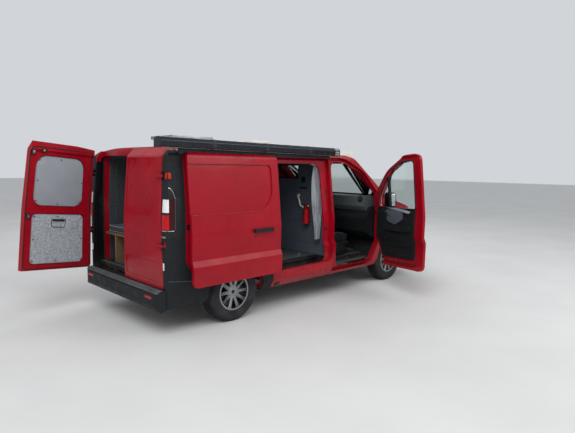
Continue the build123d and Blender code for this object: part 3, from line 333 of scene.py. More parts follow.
metal("cast_metal", (0.16, 0.16, 0.165), 0.6, 0.0004)
metal("steel", (0.38, 0.36, 0.34), 0.4, 0.0001)
metal("awning_paint", (0.045, 0.050, 0.060), 0.33)
glass("window_glass", (0.80, 0.88, 0.86))
glass("lamp_glass", (0.95, 0.97, 1.0))
cloth("carpet", (0.30, 0.32, 0.345), 420, 0.0012, 1.45, 0.15)
# Wall lining and mattress: very dark greys, partly the cloth's own colour and partly painted shade of the dim
# inside of the van
cloth("lining_cloth", (0.040, 0.045, 0.050), 420, 0.0012, 1.35, 0.05)
cloth("mattress_cloth", (0.040, 0.048, 0.062), 800, 0.0005, 1.25, 0.1)
cloth("seat_cloth", (0.008, 0.009, 0.0105), 700, 0.0005, 1.6, 0.02)
# The curtain's long dark streaks are painted shade for the shadows of its folds
cloth("curtain_cloth", (0.36, 0.385, 0.42), 900, 0.0004, 1.15, 0.1, (1, 1, 0.08))
cloth("webbing", (0.16, 0.165, 0.17), 1100, 0.0006)
# The plywood's dark brown is partly its own colour and partly painted shade of the dim inside of the van
wood("ply", (0.20, 0.125, 0.066), (0.125, 0.075, 0.037))

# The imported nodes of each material; a star stands for left and right
NODE_MATERIALS = {
    "red_paint": "roof_panel front_wings bonnet sliding_door front_door_* rear_door_*",
    "side_paint": "body_side_*",
    "black_paint": "floor_pan",
    "black_plastic": "rear_corners front_bumper rear_bumper mirror_*",
    "dark_plastic": "grille tail_lamps cowl wheel_arches fuel_tank steering_wheel front_card_*",
    "dash_black": "dashboard",
    "panel_grey": "bulkhead kitchen_unit",
    "board_grey": "rear_boards_*",
    "cream_plastic": "roof_vent",
    "tyre_rubber": "tyre_front_* tyre_rear_*",
    "alloy": "rim_front_* rim_rear_*",
    "cast_metal": "engine_block knuckle_*",
    "dark_metal": "front_suspension rear_axle solar_panel slide_gear",
    "steel": "drive_shafts exhaust",
    "awning_paint": "awning",
    "extinguisher_red": "fire_extinguisher",
    "window_glass": "windscreen front_glass_*",
    "lamp_glass": "head_lamps",
    "lining_cloth": "wall_lining",
    "mattress_cloth": "mattress",
    "seat_cloth": "seat_*",
    "curtain_cloth": "curtain",
    "ply": "bed_base",
}
for material_name, names in NODE_MATERIALS.items():
    for name in names.split():
        for side_name, _ in SIDES:
            data = frame["nodes"][name.replace("*", side_name)].data
            data.materials.clear()
            data.materials.append(MATERIALS[material_name])


def put(name, data):
    """A new object in the scene."""
    made = bpy.data.objects.new(name, data)
    bpy.context.scene.collection.objects.link(made)
    return made


# Camera: where the photograph was taken from, worked out from the van's own points
IMAGE_WIDTH = 575
FOCAL_PIXELS = 486.2
CAMERA_PLACE = (-4946, -5176, 1767)
CAMERA_YAW, CAMERA_PITCH, CAMERA_ROLL = 45.25, -5.86, 0.70
SENSOR = 36.0


def add_camera():
    """The camera, with the photograph's view."""
    data = bpy.data.cameras.new("camera")
    data.sensor_width = SENSOR
    data.lens = FOCAL_PIXELS * SENSOR / IMAGE_WIDTH
    camera = put("camera", data)
    yaw, pitch, roll = (math.radians(a) for a in (CAMERA_YAW, CAMERA_PITCH, CAMERA_ROLL))
    ahead = Vector((math.cos(pitch) * math.cos(yaw), math.cos(pitch) * math.sin(yaw), math.sin(pitch)))
    level = Vector((math.sin(yaw), -math.cos(yaw), 0))
    upright = level.cross(ahead)
    right = level * math.cos(roll) + upright * math.sin(roll)
    up = upright * math.cos(roll) - level * math.sin(roll)
    turn = Matrix((right, up, -ahead)).transposed().to_4x4()
    camera.matrix_world = Matrix.Translation(van(*CAMERA_PLACE)) @ turn
    bpy.context.scene.camera = camera


# Soft lamps. Columns: name, place, point it looks at, size in metres, power in watts
LAMPS = (
    ("key", (-6000, -5000, 7500), (-300, 0, 900), 6.0, 480),
    ("side", (3500, -7500, 5500), (0, 0, 900), 5.0, 200),
    ("back", (5000, 6000, 6500), (0, 0, 900), 6.0, 200),
)
FLOOR_HALF = 60.0
SKY_COLOUR, SKY_STRENGTH = (0.86, 0.89, 0.93, 1), 0.74


def add_stage():
    """A pale floor under a pale, even sky, with its lamps."""
    bpy.context.scene.view_settings.view_transform = "Standard"
    mesh = bpy.data.meshes.new("floor")
    corners = [(x * FLOOR_HALF, y * FLOOR_HALF, 0) for x, y in ((-1, -1), (1, -1), (1, 1), (-1, 1))]
    mesh.from_pydata(corners, [], [(0, 1, 2, 3)])
    floor = put("floor", mesh)
    tree, shader = new_material("floor", Roughness=0.9, Specular_IOR_Level=0.1)
    pale = ramp(tree, noise(tree, 0.8), (0.60, 0.60, 0.59), (0.64, 0.64, 0.63))
    tree.links.new(pale, shader.inputs["Base Color"])
    mesh.materials.append(MATERIALS["floor"])
    world = bpy.data.worlds.new("sky")
    bpy.context.scene.world = world
    world.use_nodes = True
    set_values(world.node_tree.nodes["Background"], {"Color": SKY_COLOUR, "Strength": SKY_STRENGTH})
    for name, place, aim, size, power in LAMPS:
        data = bpy.data.lights.new(name, "AREA")
        data.shape, data.size, data.energy = "DISK", size, power
        lamp = put(name, data)
        lamp.location = van(*place)
        lamp.rotation_euler = (van(*aim) - lamp.location).to_track_quat("-Z", "Y").to_euler()


# Mesh helpers. An edge looks sharp, or is bevelled, from these angles on
SHARP_ANGLE, TREAD_ANGLE, BEVEL_ANGLE = (math.radians(a) for a in (38, 32, 35))
# The most of an outline's edge that a rounded corner may take
CORNER_SHARE = 0.499


def make_object(name, mesh, body="van", part=""):
    """Puts a mesh that is in the shut van's frame onto its body, in its stored place."""
    mesh.transform(pose_of(part))
    made = put(name, mesh)
    for polygon in mesh.polygons:
        polygon.use_smooth = True
    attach(made, body)
    return made


def from_bmesh(bm, name, *materials):
    """A mesh from a bmesh, its normals outward, with materials."""
    bmesh.ops.recalc_face_normals(bm, faces=bm.faces)
    mesh = bpy.data.meshes.new(name)
    bm.to_mesh(mesh)
    bm.free()
    for material in materials:
        mesh.materials.append(MATERIALS[material])
    return mesh


def bevel(bm, edges, width, segments=2, profile=0.6):
    """Rounds edges; the width is in millimetres."""
    bmesh.ops.bevel(bm, geom=edges, offset=width * MM, segments=segments, affect="EDGES", profile=profile)


def add_prism(bm, points, offset):
    """A closed outline of 3-D points pushed along an offset in the frame; gives its faces."""
    near = [bm.verts.new(p) for p in points]
    far = [bm.verts.new(p + offset) for p in points]
    made = [bm.faces.new(near), bm.faces.new(list(reversed(far)))]
    for i in range(len(points)):
        j = (i + 1) % len(points)
        made.append(bm.faces.new((near[j], near[i], far[i], far[j])))
    return made


def rounded(corners, radius, steps=6):
    """A closed flat outline with rounded corners; radius may be one value or one for each."""
    count = len(corners)
    radii = radius if hasattr(radius, "__len__") else [radius] * count
    points = []
    for i, corner in enumerate(corners):
        here = Vector(corner)
        before = Vector(corners[i - 1]) - here
        after = Vector(corners[(i + 1) % count]) - here
        r = min(radii[i], before.length * CORNER_SHARE, after.length * CORNER_SHARE)
        start, end = here + before.normalized() * r, here + after.normalized() * r
        for step in range(steps + 1):
            t = step / steps
            spot = start * (1 - t) ** 2 + here * 2 * t * (1 - t) + end * t ** 2
            points.append((spot.x, spot.y))
    return points


def box_outline(u0, v0, u1, v1, radius, steps=5):
    """A rounded rectangle's outline."""
    return rounded([(u0, v0), (u1, v0), (u1, v1), (u0, v1)], radius, steps)


def mirrored(outline, side):
    """A left-hand outline of y and z, put on a side of the van."""
    return [(side * u, v) for u, v in outline]


def turns(count):
    """Angles evenly spread round a circle."""
    return [2 * math.pi * k / count for k in range(count)]


def circle(centre, radius, count, first=0, second=2):
    """Points round a circle in the plane of two axes; the radius is in millimetres."""
    points = []
    for angle in turns(count):
        out = Vector((0, 0, 0))
        out[first], out[second] = math.cos(angle), math.sin(angle)
        points.append(centre + out * radius * MM)
    return points


def smooth_line(points, steps):
    """A smooth line through points of the frame."""
    line = []
    count = len(points)
    for i in range(count - 1):
        a, b = points[max(i - 1, 0)], points[i]
        c, d = points[i + 1], points[min(i + 2, count - 1)]
        for step in range(steps):
            t = step / steps
            line.append(0.5 * (
                (2 * b) + (c - a) * t + (2 * a - 5 * b + 4 * c - d) * t * t + (3 * b - a - 3 * c + d) * t ** 3
            ))
    line.append(points[-1])
    return line


def between(points, step, closed):
    """A line of flat points with more points between them, no further apart than a step."""
    dense = []
    count = len(points)
    for i in range(count if closed else count - 1):
        here, there = Vector(points[i]), Vector(points[(i + 1) % count])
        parts = max(1, math.ceil((there - here).length / step))
        dense += [here.lerp(there, k / parts) for k in range(parts)]
    return dense if closed else dense + [Vector(points[-1])]


# Ways to look at the shut van: the axis looked along, the way along it, and where from
BACK, FRONT, ABOVE = (0, 1, -3200), (0, -1, 3200), (2, -1, 2600)
OUTSIDE = {LEFT: (1, -1, 1500), RIGHT: (1, 1, -1500)}
INSIDE_BACK, INSIDE_SLIDE, FROM_AISLE = (0, -1, -2100), (1, -1, -700), (1, 1, 0)
FROM_CAB_REAR, FROM_CAB_FRONT, OVER_SEAT, OVER_BED = (0, 1, -60), (0, -1, 1000), (2, -1, 1000), (2, -1, 1300)


def lay(tree, view, u, v):
    """The point of a surface seen at u, v in a view, and its normal towards the eye."""
    axis, way, start = view
    place = [u, v]
    place.insert(axis, start)
    direction = Vector((0, 0, 0))
    direction[axis] = way
    spot, normal, _, _ = tree.ray_cast(van(*place), direction)
    if spot is None:
        spot, normal, _, _ = tree.find_nearest(van(*place))
    return spot, (-normal if normal.dot(direction) > 0 else normal)


def laid_line(tree, view, points, lift, step, closed=False):
    """A line that follows a surface at a height above it."""
    line = []
    for u, v in between(points, step, closed):
        spot, normal = lay(tree, view, u, v)
        line.append(spot + normal * lift * MM)
    return line


class Piece:
    """Collects the shapes of one piece of trim, each in its own material; sizes in millimetres."""

    def __init__(self, name, slot, body="van", part=""):
        self.name, self.slot, self.body, self.part = name, slot, body, part
        self.bm = bmesh.new()
        self.materials = []

    def colour(self, material, faces):
        """Gives faces a material."""
        if material not in self.materials:
            self.materials.append(material)
        for face in faces:
            face.material_index = self.materials.index(material)

    def block(self, material, x, y, z, round_by=0):
        """A block between pairs of X, Y and Z; round_by bevels its edges."""
        verts = bmesh.ops.create_cube(self.bm, size=1)["verts"]
        centre = van(*(sum(pair) / 2 for pair in (x, y, z)))
        size = Vector([abs(high - low) for low, high in (x, y, z)]) * MM
        for v in verts:
            v.co = centre + Vector([v.co[i] * size[i] for i in range(3)])
        self.colour(material, {f for v in verts for f in v.link_faces})
        if round_by:
            bevel(self.bm, list({e for v in verts for e in v.link_edges}), round_by)

    def prism(self, material, points, offset):
        """An outline of van points pushed along an offset."""
        self.colour(material, add_prism(self.bm, [van(*p) for p in points], Vector(offset) * MM))

    def tube(self, material, points, radius, sides=8, closed=False, flat=1.0):
        """A round or flattened bar along points in the frame."""
        rings = []
        count = len(points)
        normal = None
        for i, point in enumerate(points):
            ahead = points[(i + 1) % count] if closed or i + 1 < count else point
            behind = points[i - 1] if closed or i else point
            along = (ahead - behind).normalized()
            if normal is None:
                normal = along.orthogonal().normalized()
            normal = (normal - along * normal.dot(along)).normalized()
            other = along.cross(normal)
            r = (radius[i] if hasattr(radius, "__len__") else radius) * MM
            rings.append([
                self.bm.verts.new(point + normal * math.cos(a) * r * flat + other * math.sin(a) * r)
                for a in turns(sides)
            ])
        made = []
        for first, second in list(zip(rings, rings[1:])) + ([(rings[-1], rings[0])] if closed else []):
            for s in range(sides):
                t = (s + 1) % sides
                made.append(self.bm.faces.new((first[s], first[t], second[t], second[s])))
        if not closed:
            made += [self.bm.faces.new(list(reversed(rings[0]))), self.bm.faces.new(rings[-1])]
        self.colour(material, made)

    def laid(self, material, tree, view, points, lift, step, radius, sides=8, closed=False):
        """A bar laid along a surface."""
        self.tube(material, laid_line(tree, view, points, lift, step, closed), radius, sides, closed)

    def disc(self, material, centre, normal, radius, depth, sides=24):
        """A flat cylinder at a point of the frame, along its normal."""
        along = Vector(normal)
        turn = along.to_track_quat("Z", "Y").to_matrix().to_4x4()
        place = Matrix.Translation(Vector(centre) + along.normalized() * depth * MM / 2) @ turn
        verts = bmesh.ops.create_cone(
            self.bm, cap_ends=True, segments=sides,
            radius1=radius * MM, radius2=radius * MM, depth=depth * MM, matrix=place
        )["verts"]
        self.colour(material, {f for v in verts for f in v.link_faces})

    def discs(self, spot, normal, *rows):
        """Discs stacked at one spot. Columns: material, height above it, radius, depth, sides."""
        for material, lift, radius, depth, sides in rows:
            self.disc(material, spot + normal * lift * MM, normal, radius, depth, sides)

    def ribbon(self, material, points, across, thick=1.6):
        """A flat strap along points of the frame; across is its full width as a vector."""
        side = Vector(across) * MM / 2
        rings, made = [], []
        for i, point in enumerate(points):
            along = points[min(i + 1, len(points) - 1)] - points[max(i - 1, 0)]
            up = along.cross(side).normalized() * thick * MM / 2
            corners = (-side - up, side - up, side + up, -side + up)
            rings.append([self.bm.verts.new(point + c) for c in corners])
        for first, second in zip(rings, rings[1:]):
            for k in range(4):
                n = (k + 1) % 4
                made.append(self.bm.faces.new((first[k], first[n], second[n], second[k])))
        made += [self.bm.faces.new(rings[0]), self.bm.faces.new(list(reversed(rings[-1])))]
        self.colour(material, made)

    def patch(self, material, tree, outline, view, lift=2.0, thick=4.0, cell=40.0, crown=0.0):
        """A thin plate of an outline, laid on a surface; crown raises its middle."""
        flat = bmesh.new()
        flat.faces.new([flat.verts.new((u, v, 0)) for u, v in outline])
        middle, half = [], []
        for axis in (0, 1):
            low, high = min(p[axis] for p in outline), max(p[axis] for p in outline)
            middle.append((low + high) / 2)
            half.append((high - low) / 2)
            parts = max(1, math.ceil((high - low) / cell))
            for k in range(1, parts):
                place, along = Vector((0, 0, 0)), Vector((0, 0, 0))
                place[axis], along[axis] = low + (high - low) * k / parts, 1
                everything = flat.verts[:] + flat.edges[:] + flat.faces[:]
                bmesh.ops.bisect_plane(flat, geom=everything, plane_co=place, plane_no=along)
        upper, lower = {}, {}
        for v in flat.verts:
            spot, normal = lay(tree, view, v.co.x, v.co.y)
            off = max(abs(v.co.x - middle[0]) / half[0], abs(v.co.y - middle[1]) / half[1])
            upper[v] = self.bm.verts.new(spot + normal * (lift + crown * (1 - off ** 3)) * MM)
            lower[v] = self.bm.verts.new(spot + normal * (lift - thick) * MM)
        made = []
        for f in flat.faces:
            made.append(self.bm.faces.new([upper[v] for v in f.verts]))
            made.append(self.bm.faces.new([lower[v] for v in reversed(f.verts)]))
        for e in flat.edges:
            if e.is_boundary:
                a, b = e.verts
                made.append(self.bm.faces.new((upper[a], upper[b], lower[b], lower[a])))
        self.colour(material, made)
        flat.free()

    def done(self, round_by=0):
        """Makes the piece; round_by bevels its sharp edges."""
        if round_by:
            pairs = [e for e in self.bm.edges if len(e.link_faces) == 2]
            bevel(self.bm, [e for e in pairs if e.calc_face_angle(0) > BEVEL_ANGLE], round_by)
        mesh = from_bmesh(self.bm, self.name, *self.materials)
        made = make_object(self.name, mesh, self.body, self.part)
        mesh.set_sharp_from_angle(angle=SHARP_ANGLE)
        return made


# Tyre section. Columns: offset across, radius, depth of a groove round the tyre, depth of those across it
TYRE_SECTION = [
    (-82, 208, 0, 0), (-90, 215, 0, 0), (-95, 226, 0, 0), (-97.5, 230, 0, 0), (-96, 236, 0, 0),
    (-100, 252, 0, 0), (-102.5, 274, 0, 0), (-101.5, 292, 0, 0), (-98, 308, 0, 0), (-95, 314, 0, 0),
    (-93, 318, 0, 3), (-87, 327, 0, 6), (-78, 333, 0, 7), (-62, 335.4, 0, 7), (-50, 335.6, 0, 7),
    (-49, 335.6, 7, 7), (-41, 335.7, 7, 7), (-40, 335.8, 0, 3), (-28, 335.9, 0, 3), (-17, 335.9, 0, 3),
    (-16, 335.9, 7, 7), (-8, 336, 7, 7), (-7, 336, 0, 3), (0, 336, 0, 3),
]
TYRE_PITCHES = 58
# Columns: share of a pitch, how much of the cross groove is cut there
PITCH_ROWS = [(0.0, 0), (0.70, 0), (0.76, 1), (0.94, 1)]
# How far a cross groove turns back at the shoulder, and the inner half's share of it
GROOVE_SKEW, SHOULDER, INNER_SHARE = 0.055, 90, 0.6


def tyre_mesh(place, side):
    """A road tyre with grooves round it and across it."""
    rows = TYRE_SECTION + [(-y, r, ring, cross) for y, r, ring, cross in reversed(TYRE_SECTION[:-1])]
    bm = bmesh.new()
    rings = []
    for pitch in range(TYRE_PITCHES):
        for share, cut in PITCH_ROWS:
            ring = []
            for y, radius, groove, cross in rows:
                angle = 2 * math.pi * (pitch + share) / TYRE_PITCHES
                angle += GROOVE_SKEW * min(1, abs(y) / SHOULDER) * (1 if y > 0 else INNER_SHARE)
                r = (radius - max(groove, cross * cut)) * MM
                spot = Vector((math.cos(angle) * r, side * y * MM, math.sin(angle) * r))
                ring.append(bm.verts.new(WHEELS[place] + spot))
            rings.append(ring)
    for i, ring in enumerate(rings):
        after = rings[(i + 1) % len(rings)]
        for j in range(len(rows)):
            k = (j + 1) % len(rows)
            bm.faces.new((ring[j], ring[k], after[k], after[j]))
    mesh = from_bmesh(bm, "tread_" + place, "tyre_rubber")
    mesh.set_sharp_from_angle(angle=TREAD_ANGLE)
    return mesh


HUB_FACE, NUT_CIRCLE, NUTS, NUT_TURN = 61, 54, 5, 0.3
# Raised edges of the spokes: how many spokes, half the angle between a spoke's two edges at the
# rim, and for an edge's two ends the distance out from the wheel's middle plane and the radius
SPOKES, SPOKE_LEAN, SPOKE_ROOT, SPOKE_TIP = 10, 0.066, (71, 60), (78, 196)
# An edge's thickness from root to rim, its flatness, and how far its middle bows out
EDGE_RADII, EDGE_FLATNESS, EDGE_BOW = (10, 9, 8), 0.55, 2
VALVE_PLACE, VALVE_OUT, VALVE_LENGTH = Vector((0.6, 0, 0.8)) * 186, 60, 22


def spoke(angle):
    """The direction from a wheel's centre at an angle."""
    return Vector((math.cos(angle), 0, math.sin(angle)))


def add_wheel(place):
    """One tyre, and the nuts, cap, spoke edges and valve of its rim."""
    body = "wheel_" + place
    side = RIGHT if place.endswith("right") else LEFT
    tyre = make_object("tread_" + place, tyre_mesh(place, side), body)
    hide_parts("tyre_" + place)
    centre, out = WHEELS[place], Vector((0, side, 0))
    trim = Piece("wheel_trim_" + place, "rim", body)
    face = centre + out * HUB_FACE * MM
    trim.discs(
        face, out, ("dark_metal", 0, 34, 3, 32), ("alloy", 3, 29, 4, 32), ("dark_plastic", 7, 21, 1.2, 32)
    )
    for angle in turns(NUTS):
        spot = face + spoke(angle + NUT_TURN) * NUT_CIRCLE * MM
        trim.discs(
            spot, out, ("dark_plastic", 0, 12.5, 0.8, 20), ("steel", 0, 9, 9, 6), ("steel", 9, 7, 2, 20)
        )
    for angle in turns(SPOKES):
        for lean in (-SPOKE_LEAN, SPOKE_LEAN):
            near = centre + out * SPOKE_ROOT[0] * MM + spoke(angle) * SPOKE_ROOT[1] * MM
            far = centre + out * SPOKE_TIP[0] * MM + spoke(angle + lean) * SPOKE_TIP[1] * MM
            middle = near.lerp(far, 0.5) + out * EDGE_BOW * MM
            trim.tube("alloy", [near, middle, far], EDGE_RADII, flat=EDGE_FLATNESS)
    valve = centre + out * VALVE_OUT * MM + VALVE_PLACE * MM
    trim.tube("rubber", [valve, valve + out * VALVE_LENGTH * MM], 4)
    trim.done(0.6)


# A left rear door seen from inside. Columns: y, z
REAR_SEAL = rounded([(22, 517), (818, 517), (742, 1893), (22, 1893)], 60)
UPPER_BOARD = rounded([(106, 1244), (676, 1244), (650, 1796), (106, 1796)], [98, 98, 118, 118], 8)
LOWER_BOARD = rounded([(106, 574), (731, 574), (703, 1136), (106, 1136)], 50)
BOARD_BULGE = box_outline(470, 960, 660, 1090, 60, 6)
PULL_WELL = rounded([(325, 990), (490, 990), (490, 1082), (325, 1082)], [40, 40, 14, 14])
# The boards' fixings. Columns: material, height above the board, radius, their places
BOARD_FIXINGS = (
    ("grey_plastic", 3, 9, (
        (130, 1290), (130, 1520), (130, 1750), (380, 1772),
        (640, 1750), (655, 1520), (655, 1290), (380, 1262),
    )),
    ("dark_plastic", 4, 8, (
        (128, 600), (128, 850), (128, 1110), (400, 1112),
        (690, 1100), (705, 850), (712, 600), (400, 596),
    )),
)
CATCH_HEIGHTS = (1085, 1800)


def add_rear_door(name, side):
    """A rear door's seal, boards' cloth, pull, catches and stop, and the left one's plate and lock."""
    part = "rear_door_left" if side == LEFT else ""
    tree = surface("rear_door_" + name, "rear_boards_" + name, part=part)
    trim = Piece("rear_door_trim_" + name, "black_trim", "rear_door_" + name, part)
    trim.laid("rubber", tree, INSIDE_BACK, mirrored(REAR_SEAL, side), 0, 60, 5.5, 8, True)
    for material, outline, *values in (
        ("board_grey", UPPER_BOARD, 2.5, 3, 60, 3), ("carpet", LOWER_BOARD, 3, 4, 60, 5),
        ("carpet", BOARD_BULGE, 5, 4, 30, 10), ("dark_plastic", PULL_WELL, 4, 4, 60),
    ):
        trim.patch(material, tree, mirrored(outline, side), INSIDE_BACK, *values)
    trim.laid("grey_plastic", tree, INSIDE_BACK, mirrored(PULL_WELL, side), 6, 20, 6, 8, True)
    trim.laid("black_plastic", tree, INSIDE_BACK, mirrored([(340, 1068), (475, 1068)], side), 12, 20, 8, 10)
    for material, lift, radius, places in BOARD_FIXINGS:
        for u, v in places:
            trim.discs(*lay(tree, INSIDE_BACK, side * u, v), (material, lift, radius, 2.5, 16))
    for z in CATCH_HEIGHTS:
        x = on_van(lay(tree, INSIDE_BACK, side * 52, z + 25)[0])[0]
        trim.block("dark_metal", (x - 4, x + 12), (side * 32, side * 74), (z, z + 62), 3)
        trim.block("steel", (x + 10, x + 16), (side * 42, side * 64), (z + 12, z + 46), 1.5)
    x = on_van(lay(tree, INSIDE_BACK, side * 160, 1856)[0])[0]
    trim.block("black_plastic", (x - 3, x + 6), (side * 120, side * 200), (1838, 1876), 3)
    trim.block("lens_amber", (x + 5, x + 7), (side * 150, side * 172), (1848, 1866), 0.8)
    if side == LEFT:
        trim.patch("black_plastic", tree, box_outline(70, 822, 640, 1010, 24), BACK, 3, 5, 90)
        trim.patch("cream_plastic", tree, box_outline(90, 838, 620, 958, 8), BACK, 7, 4, 90)
        trim.laid("black_plastic", tree, BACK, [(130, 992), (580, 992)], 12, 60, 13, 10)
        for u in (230, 480):
            trim.block("lens_white", (-2438, -2424), (u - 22, u + 22), (972, 980), 2)
        trim.block("black_plastic", (-2447, -2421), (34, 66), (1040, 1170), 6)
    trim.done()


# Plates beside the left tail lamp, seen from behind. Columns: material, y and z of two corners,
# corner radius, height above the surface, thickness, cell, crown
LAMP_BACK_PLATES = (
    ("steel", 832, 1034, 888, 1052, 5, 6, 8, 20, 1),
    ("lens_white", 832, 700, 868, 776, 5, 3, 5, 20, 1),
    ("hinge_red", 866, 935, 886, 990, 5, 5, 7, 14, 1),
    ("hinge_red", 846, 1628, 886, 1692, 5, 5, 7, 14, 1),
)
# Lenses that wrap the corner. Columns: material, low z, high z
LENSES = (("lens_white", 1292, 1424), ("lens_red", 1116, 1268))
LAMP_ARCH = [(-2392, 1430), (-2390, 1540), (-2368, 1536), (-2344, 1508), (-2326, 1465), (-2316, 1430)]


def add_tail_lamp(name, side):
    """A tail lamp that wraps the corner: lenses, dark cap and bright arch, with the hinges beside it."""
    tree = surface("tail_lamps", "rear_corners")
    view = OUTSIDE[side]
    trim = Piece("tail_lamp_trim_" + name, "red_lens")
    for material, low, high in LENSES:
        trim.patch(material, tree, mirrored(box_outline(836, low, 898, high, 6), side), BACK, 4, 6, 12, 1)
        trim.patch(material, tree, box_outline(-2403, low, -2384, high, 3), view, 4, 6, 6)
    trim.patch("lens_dark", tree, box_outline(-2380, 1112, -2322, 1424, 8), view, 3, 6, 30, 1)
    trim.patch("dark_plastic", tree, LAMP_ARCH, view, 2.5, 5, 30, 1)
    trim.laid("chrome", tree, view, LAMP_ARCH[1:], 3.5, 14, 3.5)
    trim.laid("grey_plastic", tree, view, [(-2316, 1424), (-2316, 1120)], 2, 30, 2.5)
    trim.laid("chrome", tree, view, [(-2398, 1106), (-2330, 1104)], 3, 20, 3.5)
    trim.laid("chrome", tree, BACK, mirrored([(834, 1106), (896, 1106)], side), 3, 20, 3.5)
    for material, u0, v0, u1, v1, radius, *values in LAMP_BACK_PLATES:
        trim.patch(material, tree, mirrored(box_outline(u0, v0, u1, v1, radius), side), BACK, *values)
    trim.patch("hinge_red", tree, box_outline(-2380, 1630, -2350, 1690, 5), view, 6, 8, 14, 1)
    trim.laid("grey_plastic", tree, view, [(-2396, 590), (-2130, 560)], 0.5, 40, 3, 6)
    trim.laid("dark_metal", tree, view, [(-2380, 1704), (-2252, 1704)], 0, 40, 2.4, 6)
    trim.done()


# The step's raised ribs: first x, spacing, width, count, and along the step the pitch and length
RIB_X, RIB_SPACING, RIB_WIDTH, RIBS, RIB_PITCH, RIB_LENGTH = -2494, 14, 6, 5, 120, 108


def add_rear_bumper():
    """The step's ribbed pad, sensors and reflectors."""
    tree = surface("rear_bumper")
    trim = Piece("rear_step", "black_trim")
    trim.patch("step_plastic", tree, box_outline(-2500, -850, -2426, 850, 12), ABOVE, 2.5, 4, 60)
    for k in range(RIBS):
        x = RIB_X + RIB_SPACING * k
        for low in range(-840, 830, RIB_PITCH):
            trim.block("step_plastic", (x, x + RIB_WIDTH), (low, low + RIB_LENGTH), (488, 492.5), 1.5)
    for _, side in SIDES:
        trim.patch("lens_red", tree, mirrored(box_outline(640, 404, 770, 428, 6), side), BACK, 3, 5, 50, 1)
        for u in (240, 560):
            sensor = ("dark_plastic", -1, 13, 3, 24), ("black_plastic", 1, 9, 2, 20)
            trim.discs(*lay(tree, BACK, side * u, 400), *sensor)
        trim.laid("dark_plastic", tree, BACK, mirrored([(0, 352), (800, 352)], side), 0.5, 60, 3, 6)
    trim.done()


# A pull handle's cover: how much it grows the handle, its depths from the outer face, its feet's length
HANDLE_GROW, HANDLE_OUT, HANDLE_IN, HANDLE_ROOT, HANDLE_FOOT = 1.6, 2, 25.5, 42, 31.6


def add_handle(trim, tree, side, x, z):
    """A dark pull handle laid over the one that the door carries."""
    outer = on_van(lay(tree, OUTSIDE[side], sum(x) / 2, sum(z) / 2)[0])[1]
    high, low, root = outer + side * HANDLE_OUT, outer - side * HANDLE_IN, outer - side * HANDLE_ROOT
    x, z = ((pair[0] - HANDLE_GROW, pair[1] + HANDLE_GROW) for pair in (x, z))
    trim.block("black_plastic", x, (low, high), z, 2)
    for near in (x[0], x[1] - HANDLE_FOOT):
        trim.block("black_plastic", (near, near + HANDLE_FOOT), (root, low + side * 2), z, 1.5)


# The sliding door. Columns: y and z of its front seal; x and z of its inner edge and its lining
SLIDE_SEAL = [(-938, 560), (-940, 760), (-930, 1050), (-880, 1600), (-858, 1840)]
SLIDE_EDGE = rounded([(-1112, 524), (-40, 524), (-76, 1786), (-1112, 1786)], [50, 50, 110, 110])
SLIDE_LINING = rounded([(-1070, 620), (-90, 620), (-118, 1740), (-1070, 1740)], 90)


def add_sliding_door():
    """The sliding door's handle, lock, seals, lining and striker."""
    tree = surface("sliding_door", part="sliding_door")
    trim = Piece("sliding_door_trim", "black_trim", part="sliding_door")
    add_handle(trim, tree, RIGHT, (-348, -66), (1022, 1058))
    lock = ("dark_metal", 0, 12, 3, 24), ("dark_plastic", 3, 4, 1, 12)
    trim.discs(*lay(tree, OUTSIDE[RIGHT], -322, 978), *lock)
    trim.laid("rubber", tree, FRONT, SLIDE_SEAL, 2, 80, 6)
    trim.laid("rubber", tree, INSIDE_SLIDE, SLIDE_EDGE, 3, 70, 7, 8, True)
    trim.patch("carpet", tree, SLIDE_LINING, INSIDE_SLIDE, 3, 4, 120, 4)
    trim.block("dark_metal", (82, 88), (-930, -905), (1010, 1090), 2)
    trim.done()


# A front door's outlines. Columns: x, z
FRONT_WINDOW = rounded(
    [(222, 1165), (1080, 1185), (1050, 1335), (750, 1680), (470, 1801), (214, 1801)],
    [40, 40, 40, 300, 150, 70]
)
WINDOW_MIDDLE, WINDOW_GROWTH = Vector((620, 1480)), 1.018
FRONT_EDGE = rounded(
    [(240, 416), (936, 416), (1144, 738), (1144, 1362), (842, 1672), (440, 1815), (205, 1815)], 60
)
ARM_REST = rounded([(320, 1128), (330, 1102), (620, 1142), (860, 1176), (600, 1172)], 8)
# The inner card's parts. Columns: material, outline, height above the card, thickness, cell, crown
CARD_PARTS = (
    ("dark_plastic", rounded([(225, 1098), (1120, 1098), (1112, 1178), (225, 1158)], 10), 2.5, 5, 60),
    ("panel_grey", rounded([(500, 1150), (480, 1020), (650, 935), (840, 985), (905, 1150)], 36), 5, 7, 60, 9),
    ("board_grey", ARM_REST, 16, 16, 60, 3),
    ("black_plastic", rounded([(300, 700), (690, 700), (730, 838), (300, 838)], 40), 3, 4, 80, 3),
    ("dark_plastic", rounded([(290, 500), (860, 500), (900, 640), (290, 640)], 40), 4, 5, 90, 9),
)


